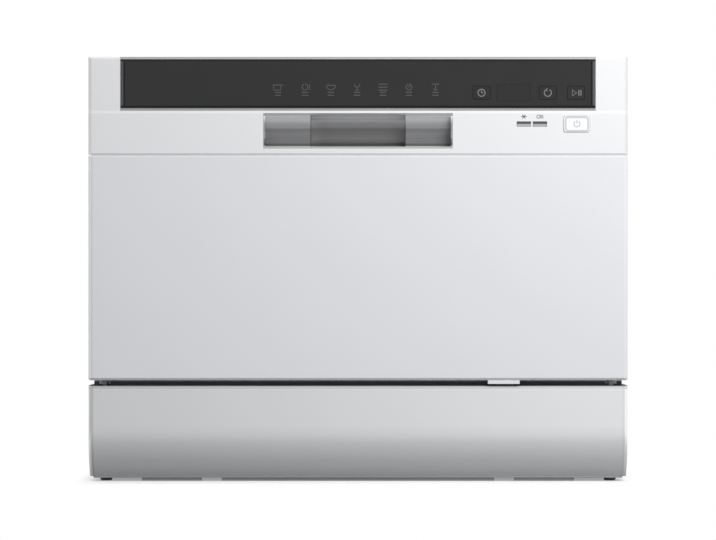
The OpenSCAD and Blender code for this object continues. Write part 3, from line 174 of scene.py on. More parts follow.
def rounded_loop(x0: float, x1: float, y0: float, y1: float, r: float, steps: int = 6) -> Array:
    """Outline of a rectangle with round corners, anticlockwise.

    Each corner is a quarter circle, centre + r * (cos t, sin t).

    Args:
        x0, x1: left and right side.
        y0, y1: lower and upper side.
        r: radius of the corners.
        steps: points on each corner.

    Returns:
        Array of (x, y).
    """
    t = np.linspace(0, math.pi / 2, steps)
    centres = [(x1 - r, y1 - r), (x0 + r, y1 - r), (x0 + r, y0 + r), (x1 - r, y0 + r)]
    corners = [
        np.stack([cx + r * np.cos(t + k * math.pi / 2), cy + r * np.sin(t + k * math.pi / 2)], axis=1)
        for k, (cx, cy) in enumerate(centres)
    ]
    return np.concatenate(corners)


def bent_line(corners: Array, radius: float, steps: int = 6) -> Array:
    """A line of straight runs whose corners are bent to a radius.

    Each corner is a quadratic curve between the points a radius before and after it.

    Args:
        corners: ends and corners of the line.
        radius: length of each run that a bend takes.
        steps: points on each bend.

    Returns:
        Points of the bent line.
    """
    corners = np.asarray(corners, float)
    t = np.linspace(0, 1, steps)[:, None]
    pieces = [corners[:1]]
    for before, corner, after in zip(corners[:-2], corners[1:-1], corners[2:]):
        a = corner + (before - corner) / np.linalg.norm(before - corner) * radius
        b = corner + (after - corner) / np.linalg.norm(after - corner) * radius
        pieces.append((1 - t) ** 2 * a + 2 * t * (1 - t) * corner + t**2 * b)
    pieces.append(corners[-1:])
    return np.concatenate(pieces)


def lathe(profile: Array, centre: Array, axis: Array, side: Array, sides: int = 32) -> Patch:
    """Turns a profile round an axis and closes it at both ends.

    Point (i, j) is centre + axis * height[i] + radius[i] * (side cos t + (axis x side) sin t).

    Args:
        profile: (radius, height) from one end to the other.
        centre: point on the axis at height 0.
        axis: unit vector of the axis.
        side: unit vector at right angles to the axis.
        sides: number of faces round the axis.

    Returns:
        The turned surface.
    """
    axis, side = np.asarray(axis, float), np.asarray(side, float)
    ring = circle(1.0, sides)
    around = ring[:, :1] * side + ring[:, 1:] * np.cross(axis, side)
    points = np.asarray(centre, float) + profile[:, None, 1, None] * axis + profile[:, None, 0, None] * around
    return Patch(points.reshape(-1, 3), [face[::-1] for face in tube_faces(len(profile), sides)])


def plate(outline: Array, low: float, high: float, bevel: float, place: Array) -> Patch:
    """A flat plate of any outline, with bevelled edges.

    The outline is repeated at four heights, and drawn in towards its middle by the bevel at the
    first and the last.

    Args:
        outline: closed outline in the plate's own two directions.
        low: height of one face.
        high: height of the other.
        bevel: width of the bevel.
        place: 3 x 3 array whose rows are the plate's two directions and its height's direction.

    Returns:
        The closed plate.
    """
    ahead, behind = np.roll(outline, -1, axis=0), np.roll(outline, 1, axis=0)
    along = ahead - behind
    along /= np.linalg.norm(along, axis=1, keepdims=True)
    inward = np.stack([-along[:, 1], along[:, 0]], axis=1)
    heights = np.array([low, low + bevel, high - bevel, high])
    inset = np.array([bevel, 0.0, 0.0, bevel])
    flat = outline[None, :, :] + inward[None, :, :] * inset[:, None, None]
    deep = np.broadcast_to(heights[:, None, None], (4, len(outline), 1))
    points = np.concatenate([flat, deep], axis=2) @ np.asarray(place, float)
    return Patch(points.reshape(-1, 3), tube_faces(len(heights), len(outline)))


# Finishes


class Texture(Enum):
    """How a finish breaks up light."""

    GRAINED = "fine grain over slow mottling"
    BRUSHED = "hair lines along X"
    BOARD = "solder mask over copper tracks"


class Along(Enum):
    """What a stretch of a surface is measured along."""

    X = "from left to right"
    SIDE = "away from the middle, to either side"
    Y = "from front to back"
    Z = "upwards"


@dataclass(frozen=True)
class Span:
    """A stretch between two places, with soft ends."""

    along: Along
    low: float
    high: float
    soft: float = 0.0003


@dataclass(frozen=True)
class Band:
    """The part of a surface that lies in all of its spans, where the colour is multiplied by a gain to paint light and
    shade onto it.
    """

    gain: float
    spans: tuple[Span, ...]


def band(gain: float, *spans: Span) -> Band:
    """A band from its gain and its spans."""
    return Band(gain, spans)


@dataclass(frozen=True)
class Finish:
    """One material of the machine, in plain numbers."""

    name: str
    colour: Triple
    roughness: float
    grain: float
    bump: float
    texture: Texture = Texture.GRAINED
    metallic: float = 0.0
    mottle: float = 0.03
    coat: float = 0.0
    specular: float = 0.5
    dust: float = 0.0
    rough_swing: float = 0.06
    bands: tuple[Band, ...] = ()


X, SIDE, Y, Z = Along
# Stretches that the bands of painted light and shade share: five depths of the front and of the handle in it, one that
# starts at the cavity's edges, and the width of the dark strip
FRONT = Span(Y, -1.0, -0.2, 0.0005)
PANEL = Span(Y, -1.0, -0.244, 0.0005)
LIP = Span(Y, -1.0, -0.247, 0.0005)
CUP = Span(Y, -1.0, -0.23, 0.0005)
CAVITY = Span(Y, -0.23, 1.0, 0.0005)
CAVITY_EDGE = Span(Y, -0.24, 1.0, 0.0005)
OVER_STRIP = Span(SIDE, -1.0, 0.2425)

# Each finish has its name, colour, roughness, scale of grain and height of bump, and then what sets it apart
FINISHES: dict[str, Finish] = {
    "white_paint": Finish(
        "baked_white_paint", (0.735, 0.75, 0.78), 0.42, 520, 0.05, mottle=0.004, coat=0.15,
        bands=(
            # Painted light and shade on the door panel: a painted shadow along its lower rounded edge over a painted
            # highlight on its lowest line, and on the front a painted highlight on the left side edge with a painted
            # shade line just inside it
            band(0.55, Span(Z, 0.1, 0.1065)), band(2.5, Span(Z, 0.1, 0.1056)),
            band(1.43, Span(X, -0.278, -0.2722), FRONT), band(1.14, Span(X, -0.278, -0.2732), FRONT),
            band(0.94, Span(X, -0.2722, -0.2698, 0.0004), FRONT),
        ),
    ),
    "white_plastic": Finish(
        "white_moulding", (0.781, 0.785, 0.801), 0.46, 1500, 0.06, mottle=0.004,
        bands=(
            # Painted light and shade on the white moulding: painted shade on the top edge of the front over the strip,
            # a painted highlight line just under the dark strip, and on the front a painted highlight on the left side
            # edge and painted shade on the right one
            band(0.6, Span(Z, 0.4316, 0.436), PANEL, OVER_STRIP),
            band(0.62, Span(Z, 0.4328, 0.436), PANEL, OVER_STRIP), band(1.1, Span(Z, 0.3762, 0.379)),
            band(1.45, Span(X, -0.278, -0.2728, 0.0008), FRONT), band(0.88, Span(X, 0.2715, 0.278, 0.0006), FRONT),
        ),
    ),
    "kick_moulding": Finish(
        # A darker copy of the white moulding: painted shade over the whole kickplate
        "white_kick_moulding", (0.679, 0.685, 0.698), 0.46, 1500, 0.06, mottle=0.004,
        bands=(
            # Painted light and shade on the kickplate: a painted shadow on its top lip under the door and a near black
            # top face where it is seen through the gap, painted shade on its lower curve and bottom edge, the colour
            # lit brighter towards the right, painted highlights on both side edges and painted shade lines just inside
            # them
            band(0.68, Span(Z, 0.0954, 0.1)), band(0.05, Span(Z, 0.0984, 0.1, 0.0002)),
            band(0.89, Span(Z, 0.018, 0.044, 0.006)), band(0.46, Span(Z, -0.01, 0.0057)),
            band(1.14, Span(X, 0.0, 1.0, 0.4)), band(1.66, Span(X, -0.278, -0.2734)),
            band(1.2, Span(X, -0.2734, -0.2722)), band(0.8, Span(X, -0.2722, -0.27, 0.0004)),
            band(0.92, Span(X, 0.2698, 0.2722, 0.0004)), band(1.25, Span(X, 0.2722, 0.278)),
        ),
    ),
    "dark_gloss": Finish(
        "dark_strip", (0.022, 0.0222, 0.0228), 0.16, 60, 0.0, mottle=0.04, specular=0.25,
        bands=(
            # The dark strip's bands: its lower bevel made grey, painted shadow lines above that bevel and under its
            # top edge, a painted highlight on its top bevel, and a painted highlight on both side bevels with a
            # painted shadow line just inside each
            band(21.0, Span(Z, 0.37, 0.3814)), band(0.05, Span(Z, 0.382, 0.3842)), band(0.05, Span(Z, 0.4293, 0.4306)),
            band(6.0, Span(Z, 0.4308, 0.433)), band(4.2, Span(SIDE, 0.2392, 0.25), Span(Z, 0.3822, 0.4306)),
            band(0.05, Span(SIDE, 0.2372, 0.2388), Span(Z, 0.3822, 0.4306)),
        ),
    ),
    "smoked_window": Finish("smoked_window", (0.02, 0.0202, 0.0208), 0.12, 60, 0.0, mottle=0.02, specular=0.25),
    "dark_key": Finish("dark_key", (0.014, 0.0142, 0.0148), 0.3, 1800, 0.05, specular=0.25),
    "white_key": Finish("white_key", (0.88, 0.885, 0.895), 0.38, 1500, 0.04, mottle=0.004),
    # The lens's band darkens its upper half: a painted shadow in the top of each lamp's slot
    "lamp_lens": Finish("lamp_lens", (0.4, 0.41, 0.43), 0.3, 900, 0.02, bands=(band(0.15, Span(Z, 0.3655, 0.38)),)),
    "handle_silver": Finish(
        "dark_silver_moulding", (0.33, 0.332, 0.338), 0.42, 1500, 0.05, metallic=0.3,
        bands=(
            # Painted light and shade on the handle: the upper part lit and the lower part shaded as a painted
            # reflection, the top lip darkened at the front and more so in the middle, a lit stripe and shade in the
            # cup's lower part, a painted shadow line in the bottom crease over a painted highlight on the lower lip;
            # in the cavity, colour lifted against its own shade, painted shade low down, at its top and in a low
            # stripe, its lower lip lit, its side walls darkened where they catch the lamp and its edges lit so that
            # the step fades out
            band(1.9, Span(Z, 0.369, 0.385, 0.003)), band(1.45, Span(Z, 0.3725, 0.385, 0.001)),
            band(0.36, Span(Z, 0.3735, 0.385), LIP),
            band(0.7, Span(Z, 0.3735, 0.385), LIP, Span(SIDE, -1.0, 0.0485, 0.004)),
            band(0.77, Span(Z, 0.33, 0.3652, 0.0025)), band(1.22, Span(Z, 0.3508, 0.3575, 0.0015), CUP),
            band(0.58, Span(Z, 0.33, 0.3508, 0.0006), CUP), band(0.53, Span(Z, 0.3436, 0.3462, 0.0005)),
            band(3.0, Span(Z, 0.33, 0.3436, 0.0005)), band(1.18, CAVITY),
            band(0.5, Span(Z, 0.33, 0.3628, 0.002), CAVITY), band(0.78, Span(Z, 0.3715, 0.385, 0.001), CAVITY),
            band(0.78, Span(Z, 0.3465, 0.3505, 0.001), CAVITY), band(1.6, Span(Z, 0.33, 0.3442), CAVITY),
            band(0.5, Span(SIDE, 0.0481, 0.049, 0.0002), CAVITY_EDGE),
            band(1.6, Span(SIDE, 0.044, 0.06, 0.01), CAVITY, Span(Z, 0.33, 0.37, 0.002)),
        ),
    ),
    "steel": Finish(
        "brushed_stainless", (0.6, 0.605, 0.61), 0.26, 700, 0.05, Texture.BRUSHED, metallic=1.0, rough_swing=0.10
    ),
    "zinc": Finish("zinc_plate", (0.56, 0.565, 0.56), 0.34, 900, 0.08, metallic=1.0),
    "galvanised": Finish(
        "galvanised_sheet", (0.52, 0.53, 0.54), 0.42, 110, 0.04, metallic=1.0, mottle=0.16, rough_swing=0.14
    ),
    "base_moulding": Finish("base_moulding", (0.22, 0.222, 0.226), 0.52, 1300, 0.12, dust=0.1),
    "black_plastic": Finish("black_moulding", (0.018, 0.018, 0.019), 0.55, 1300, 0.14, dust=0.12),
    "grey_plastic": Finish("grey_washing_part", (0.2, 0.205, 0.21), 0.48, 1300, 0.08),
    "dark_grey_plastic": Finish("dark_grey_moulding", (0.055, 0.057, 0.06), 0.5, 1300, 0.1),
    "pale_plastic": Finish("pale_moulding", (0.6, 0.61, 0.62), 0.45, 1300, 0.07),
    "blue_grey": Finish("blue_grey_moulding", (0.16, 0.23, 0.3), 0.44, 1300, 0.07),
    "foot_grey": Finish("foot_grey", (0.13, 0.132, 0.135), 0.6, 900, 0.12, dust=0.15),
    "seal": Finish("black_seal", (0.012, 0.012, 0.0125), 0.62, 900, 0.16, dust=0.05),
    "draught_grey": Finish(
        # Its band is a painted highlight along the strip's top edge
        "draught_strip", (0.1, 0.101, 0.103), 0.6, 900, 0.1, bands=(band(12.0, Span(Z, 0.1028, 0.106)),)
    ),
    "hose": Finish("black_hose", (0.016, 0.016, 0.017), 0.55, 700, 0.14, dust=0.1),
    "board": Finish("circuit_board", (0.012, 0.085, 0.032), 0.34, 900, 0.05, Texture.BOARD, coat=0.3),
    "nylon_wire": Finish("nylon_dipped_wire", (0.36, 0.37, 0.385), 0.36, 420, 0.1),
    "motor": Finish("motor_paint", (0.11, 0.115, 0.12), 0.44, 600, 0.1, dust=0.08),
    "print_on_strip": Finish("print_on_strip", (0.085, 0.087, 0.092), 0.5, 300, 0.0, specular=0.25),
    "print_on_key": Finish("print_on_key", (0.22, 0.222, 0.226), 0.5, 300, 0.0, specular=0.25),
    "print_dark": Finish("print_dark", (0.24, 0.24, 0.245), 0.5, 300, 0.0),
    "print_pale": Finish("print_pale", (0.57, 0.575, 0.585), 0.5, 300, 0.0),
}


class NodeWriter:
    """Writes shader nodes into one tree."""

    def __init__(self, tree: bpy.types.NodeTree) -> None:
        """Takes the tree to write into."""
        self.tree = tree
        self.count = 0

    def add(self, kind: str, inputs: dict | None = None, **settings: object) -> bpy.types.Node:
        """Adds a node, sets its fields and fills or links its inputs.

        Args:
            kind: the node's type name.
            inputs: value or output socket for each input, by its name or number.
            **settings: the node's own fields.

        Returns:
            The new node.
        """
        node = self.tree.nodes.new(kind)
        node.location = (220 * self.count, 0)
        self.count += 1
        for key, value in settings.items():
            setattr(node, key, value)
        for key, value in (inputs or {}).items():
            if isinstance(value, bpy.types.NodeSocket):
                self.tree.links.new(value, node.inputs[key])
            else:
                node.inputs[key].default_value = value
        return node

    def maths(self, operation: str, *values: object) -> Socket:
        """Adds a Math node and returns its result."""
        return self.add("ShaderNodeMath", dict(enumerate(values)), operation=operation).outputs[0]

    def vectors(self, operation: str, *values: object, result: int = 0) -> Socket:
        """Adds a Vector Math node and returns one of its results."""
        return self.add("ShaderNodeVectorMath", dict(enumerate(values)), operation=operation).outputs[result]

    def noise(self, where: Socket, scale: object, detail: float, roughness: float) -> Socket:
        """Adds a Noise Texture node and returns its value."""
        inputs = {"Vector": where, "Scale": scale, "Detail": detail, "Roughness": roughness}
        return self.add("ShaderNodeTexNoise", inputs).outputs[0]

    def between(self, value: object, low: float, high: float, to_low: float = 0.0, to_high: float = 1.0) -> Socket:
        """Maps a value smoothly from one range to another and returns the result."""
        inputs = {0: value, 1: low, 2: high, 3: to_low, 4: to_high}
        return self.add("ShaderNodeMapRange", inputs, interpolation_type="SMOOTHSTEP").outputs[0]

    def mix(self, share: object, first: object, second: object) -> Socket:
        """Mixes two colours and returns the result."""
        return self.add("ShaderNodeMix", {0: share, 6: first, 7: second}, data_type="RGBA").outputs[2]

    def feed(self, node: bpy.types.Node, *values: Socket) -> None:
        """Links values to a node's inputs, in order."""
        for socket, value in zip(node.inputs, values):
            self.tree.links.new(value, socket)


def new_group(name: str, inputs: str, outputs: str) -> tuple[NodeWriter, list[Socket], bpy.types.Node]:
    """Starts a shader node group.

    Args:
        name: the group's name.
        inputs: names of the inputs, parted by spaces. Vector and Normal are vectors, the rest numbers.
        outputs: names of the outputs, all numbers.

    Returns:
        A writer for the group, its inputs' values and its output node.
    """
    tree = bpy.data.node_groups.new(name, "ShaderNodeTree")
    for label in inputs.split():
        kind = "NodeSocketVector" if label in ("Vector", "Normal") else "NodeSocketFloat"
        tree.interface.new_socket(label, in_out="INPUT", socket_type=kind)
    for label in outputs.split():
        tree.interface.new_socket(label, in_out="OUTPUT", socket_type="NodeSocketFloat")
    writer = NodeWriter(tree)
    return writer, list(writer.add("NodeGroupInput").outputs), writer.add("NodeGroupOutput")


class Workshop:
    """Builds the shared shader groups once, and each finish's material when it is first asked for."""

    def __init__(self) -> None:
        """Makes the shared groups."""
        self.made: dict[str, bpy.types.Material] = {}
        self.grain = self._grain_group()
        self.hairline = self._hairline_group()
        self.settled = self._settled_group()

    def _grain_group(self) -> bpy.types.NodeTree:
        """Fine grain and slow mottling of a surface, both about 0.5 on average.

        Returns:
            The group's tree.
        """
        w, given, out = new_group("surface_grain", "Vector Grain", "Fine Slow")
        fine = w.noise(given[0], given[1], 2.0, 0.55)
        slow = w.noise(given[0], 16.0, 3.0, 0.6)
        w.feed(out, w.between(fine, 0.25, 0.75), w.between(slow, 0.3, 0.7))
        return w.tree

    def _hairline_group(self) -> bpy.types.NodeTree:
        """Long fine lines: noise whose space is squeezed along X.

        Returns:
            The group's tree.
        """
        w, given, out = new_group("brushed_hairline", "Vector Grain", "Fine Slow")
        squeezed = w.vectors("MULTIPLY", given[0], (0.012, 1.0, 1.0))
        fine = w.noise(squeezed, given[1], 4.0, 0.7)
        slow = w.noise(given[0], 14.0, 2.0, 0.5)
        w.feed(out, w.between(fine, 0.28, 0.72), w.between(slow, 0.3, 0.7))
        return w.tree

    def _settled_group(self) -> bpy.types.NodeTree:
        """Mask of dust that lies on what faces up, broken up by noise.

        Returns:
            The group's tree.
        """
        w, given, out = new_group("settled_dust", "Vector Normal Amount", "Mask")
        parts = w.add("ShaderNodeSeparateXYZ", {0: given[1]})
        up = w.between(parts.outputs[2], -0.1, 0.9, 0.25)
        cloud = w.noise(given[0], 38.0, 5.0, 0.65)
        broken = w.maths("MULTIPLY", up, w.between(cloud, 0.35, 0.75, 0.2))
        w.feed(out, w.maths("MULTIPLY", broken, given[2]))
        return w.tree

    def material(self, key: str) -> bpy.types.Material:
        """Gives the material of a finish.

        Args:
            key: name of the finish in FINISHES.

        Returns:
            Its material, made at the first call.
        """
        if key not in self.made:
            self.made[key] = self._build(FINISHES[key])
        return self.made[key]

    def _painted_light(self, w: NodeWriter, bands: tuple[Band, ...], where: Socket) -> Socket:
        """Adds the product of the gains of all the bands that a point lies in, which paints light and shade into the
        colour.

        Each band's factor is 1 + (gain - 1) * mask, where the mask is the product of its spans, and
        each of those rises and falls smoothly at its ends.

        Args:
            w: writer of the material's tree.
            bands: the bands.
            where: Object coordinates.

        Returns:
            The product.
        """
        x, y, z = w.add("ShaderNodeSeparateXYZ", {0: where}).outputs
        places = {Along.X: x, Along.SIDE: w.maths("ABSOLUTE", x), Along.Y: y, Along.Z: z}
        product = None
        for each in bands:
            mask = None
            for span in each.spans:
                place = places[span.along]
                rise = w.between(place, span.low - span.soft, span.low + span.soft)
                fall = w.between(place, span.high - span.soft, span.high + span.soft, 1.0, 0.0)
                inside = w.maths("MULTIPLY", rise, fall)
                mask = inside if mask is None else w.maths("MULTIPLY", mask, inside)
            factor = w.maths("MULTIPLY_ADD", mask, each.gain - 1.0, 1.0)
            product = factor if product is None else w.maths("MULTIPLY", product, factor)
        return product

    def _build(self, finish: Finish) -> bpy.types.Material:
        """Builds the material of one finish.

        Args:
            finish: the finish.

        Returns:
            The material.
        """
        material = bpy.data.materials.new(finish.name)
        material.use_nodes = True
        material.node_tree.nodes.clear()
        w = NodeWriter(material.node_tree)
        where = w.add("ShaderNodeTexCoord").outputs["Object"]
        group = self.hairline if finish.texture is Texture.BRUSHED else self.grain
        fine, slow = w.add("ShaderNodeGroup", {"Vector": where, "Grain": finish.grain}, node_tree=group).outputs[:2]
        deep = (*(c * (1 - finish.mottle * 2) for c in finish.colour), 1.0)
        colour = w.mix(slow, (*finish.colour, 1.0), deep)
        swing = finish.rough_swing / 2
        rough = w.between(fine, 0.0, 1.0, finish.roughness - swing, finish.roughness + swing)
        # Painted light and shade: the bands' gains scale the colour
        if finish.bands:
            gain = self._painted_light(w, finish.bands, where)
            colour = w.add("ShaderNodeVectorMath", {0: colour, "Scale": gain}, operation="SCALE").outputs[0]
        if finish.texture is Texture.BOARD:
            shape = {"distance": "MANHATTAN", "feature": "DISTANCE_TO_EDGE"}
            cells = w.add("ShaderNodeTexVoronoi", {"Vector": where, "Scale": 260.0}, **shape)
            colour = w.mix(w.between(cells.outputs[0], 0.02, 0.06, 1.0, 0.0), colour, (0.03, 0.16, 0.055, 1.0))
        if finish.dust > 0:
            normal = w.add("ShaderNodeNewGeometry").outputs["Normal"]
            inputs = {"Vector": where, "Normal": normal, "Amount": finish.dust}
            mask = w.add("ShaderNodeGroup", inputs, node_tree=self.settled).outputs[0]
            colour = w.mix(mask, colour, (0.42, 0.41, 0.39, 1.0))
        surface = w.add(
            "ShaderNodeBsdfPrincipled",
            {
                "Base Color": colour,
                "Roughness": rough,
                "Metallic": finish.metallic,
                "Coat Weight": finish.coat,
                "Coat Roughness": 0.1,
                "Specular IOR Level": finish.specular,
            },
        )
        if finish.bump > 0:
            raised = w.add("ShaderNodeBump", {"Height": fine, "Strength": finish.bump, "Distance": 0.0004})
            w.tree.links.new(raised.outputs[0], surface.inputs["Normal"])
        w.feed(w.add("ShaderNodeOutputMaterial"), surface.outputs[0])
        return material


SHOP = Workshop()


# Pieces


def outward(mesh: bpy.types.Mesh) -> None:
    """Turns every face of a closed mesh outwards.

    Args:
        mesh: the mesh, changed in place.
    """
    work = bmesh.new()
    work.from_mesh(mesh)
    bmesh.ops.remove_doubles(work, verts=work.verts, dist=1e-7)
    bmesh.ops.recalc_face_normals(work, faces=work.faces)
    work.to_mesh(mesh)
    work.free()


def make_piece(name: str, patches: list[Patch], finish: str, smooth: float | None = None) -> bpy.types.Object:
    """Makes a mesh object at the origin from patches.

    Args:
        name: the piece's name.
        patches: its surfaces, in the part's frame.
        finish: key of its finish.
        smooth: angle in degrees under which edges are shaded smooth, or None for flat faces.

    Returns:
        The object, linked into the scene.
    """
    mesh = bpy.data.meshes.new(name)
    patch = joined(patches)
    mesh.from_pydata(patch.points.tolist(), [], patch.faces)
    mesh.validate()
    outward(mesh)
    mesh.materials.append(SHOP.material(finish))
    piece = bpy.data.objects.new(name, mesh)
    bpy.context.scene.collection.objects.link(piece)
    if smooth is not None:
        mesh.shade_smooth()
        mesh.set_sharp_from_angle(angle=math.radians(smooth))
    log.info("piece %s: %d faces", name, len(mesh.polygons))
    return piece


X_AXIS, Y_AXIS, Z_AXIS = np.eye(3)
FACING_FRONT = np.array([[1.0, 0, 0], [0, 0, 1.0], [0, -1.0, 0]])


def at_y(flat: Array, y: float) -> Array:
    """Points of a line drawn in X and Z, put at one depth."""
    return np.stack([flat[:, 0], np.full(len(flat), y), flat[:, 1]], axis=1)


# Sub-assemblies


@dataclass
class Studio:
    """Camera, lamp, world and floor."""

    camera_z: float = 0.2167
    view_width: float = 0.7292
    front_y: float = -0.25
    lens: float = 150.0
    sensor: float = 36.0
    lamp_place: Triple = (0.70, -1.21, 1.00)
    lamp_aim: Triple = (0.0, -0.2, 0.2)
    lamp_size: float = 0.8
    lamp_watts: float = 15.8
    world_level: float = 0.63
    floor_half: float = 6.0
    floor_bounce: float = 0.20
    floor_seen: float = 0.97
    keep_x: float = 0.262
    keep_y: float = 0.250
    fade: float = 0.032
    # Share of plain white glow that the floor shows to the camera even in the machine's shadow: a painted lightening
    # of that shadow
    lift: float = 0.33

    def build(self) -> None:
        """Makes everything that isn't the machine."""
        self._camera()
        self._world()
        self._floor()
        self._lamp()
        bpy.context.scene.view_settings.view_transform = "Standard"

    def _camera(self) -> None:
        """Sets the camera square to the front, as far off as its lens needs for the frame's width."""
        data = bpy.data.cameras.new("camera")
        data.lens, data.sensor_width = self.lens, self.sensor
        camera = bpy.data.objects.new("camera", data)
        bpy.context.scene.collection.objects.link(camera)
        distance = self.view_width * self.lens / self.sensor
        camera.location = (0.0, self.front_y - distance, self.camera_z)
        camera.rotation_euler = (math.pi / 2, 0.0, 0.0)
        data.clip_end = 50.0
        bpy.context.scene.camera = camera

    def _lamp(self) -> None:
        """Adds a square soft lamp in front of the machine, over it and to its right."""
        data = bpy.data.lights.new("key", "AREA")
        data.shape, data.size, data.energy = "SQUARE", self.lamp_size, self.lamp_watts
        lamp = bpy.data.objects.new("key", data)
        lamp.location = self.lamp_place
        lamp.rotation_mode = "QUATERNION"
        lamp.rotation_quaternion = (Vector(self.lamp_aim) - Vector(self.lamp_place)).to_track_quat("-Z", "Y")
        bpy.context.scene.collection.objects.link(lamp)

    def _seen(self, w: NodeWriter) -> Socket:
        """Tells rays from the camera, a mirror or glass from the rest.

        Args:
            w: writer of the material's tree.

        Returns:
            1 for those rays and 0 for the rest.
        """
        path = w.add("ShaderNodeLightPath")
        first = w.maths("MAXIMUM", path.outputs["Is Camera Ray"], path.outputs["Is Glossy Ray"])
        return w.maths("MAXIMUM", first, path.outputs["Is Transmission Ray"])

    def _world(self) -> None:
        """White where it is seen and grey where it lights."""
        world = bpy.data.worlds.new("studio_world")
        world.use_nodes = True
        world.node_tree.nodes.clear()
        w = NodeWriter(world.node_tree)
        level = w.between(self._seen(w), 0.0, 1.0, self.world_level, 1.0)
        glow = w.add("ShaderNodeBackground", {"Color": (1.0, 1.0, 1.0, 1.0), "Strength": level})
        w.feed(w.add("ShaderNodeOutputWorld"), glow.outputs[0])
        bpy.context.scene.world = world

    def _floor(self) -> None:
        """A pale floor that keeps the machine's shadow and fades to white away from it."""
        half = self.floor_half
        mesh = bpy.data.meshes.new("floor")
        mesh.from_pydata([(-half, -half, 0), (half, -half, 0), (half, half, 0), (-half, half, 0)], [], [(0, 1, 2, 3)])
        floor = bpy.data.objects.new("floor", mesh)
        bpy.context.scene.collection.objects.link(floor)
        material = bpy.data.materials.new("pale_floor")
        material.use_nodes = True
        material.node_tree.nodes.clear()
        w = NodeWriter(material.node_tree)
        seen = self._seen(w)
        reach = w.vectors("ABSOLUTE", w.add("ShaderNodeTexCoord").outputs["Object"])
        past = w.vectors("SUBTRACT", reach, (self.keep_x, self.keep_y, 0.0))
        away = w.vectors("LENGTH", w.vectors("MAXIMUM", past, (0.0, 0.0, 0.0)), result=1)
        far = w.between(away, 0.0, self.fade, self.lift)
        grey = w.mix(seen, (*(self.floor_bounce,) * 3, 1.0), (*(self.floor_seen,) * 3, 1.0))
        matte = w.add("ShaderNodeBsdfDiffuse", {"Color": grey}).outputs[0]
        white = w.add("ShaderNodeEmission", {"Color": (1.0, 1.0, 1.0, 1.0), "Strength": 1.0}).outputs[0]
        blend = w.add("ShaderNodeMixShader", {0: w.maths("MULTIPLY", far, seen), 1: matte, 2: white})
        w.feed(w.add("ShaderNodeOutputMaterial"), blend.outputs[0])
        mesh.materials.append(material)


@dataclass
class Dresser:
    """Gives every CAD node the material of its slot in the record."""

    # The kickplate takes the darker copy of the white moulding, a painted shade; the base tray takes its own dark grey
    own: dict[str, str] = field(default_factory=lambda: {"kickplate": "kick_moulding", "base_tray": "base_moulding"})

    def build(self) -> None:
        """Assigns the materials, a node's own finish before that of its slot."""
        slots = {s["node"]: s["material_slot"] for s in frame["record"]["subparts"]}
        for name, node in frame["nodes"].items():
            node.data.materials.clear()
            node.data.materials.append(SHOP.material(self.own.get(name, slots[name])))


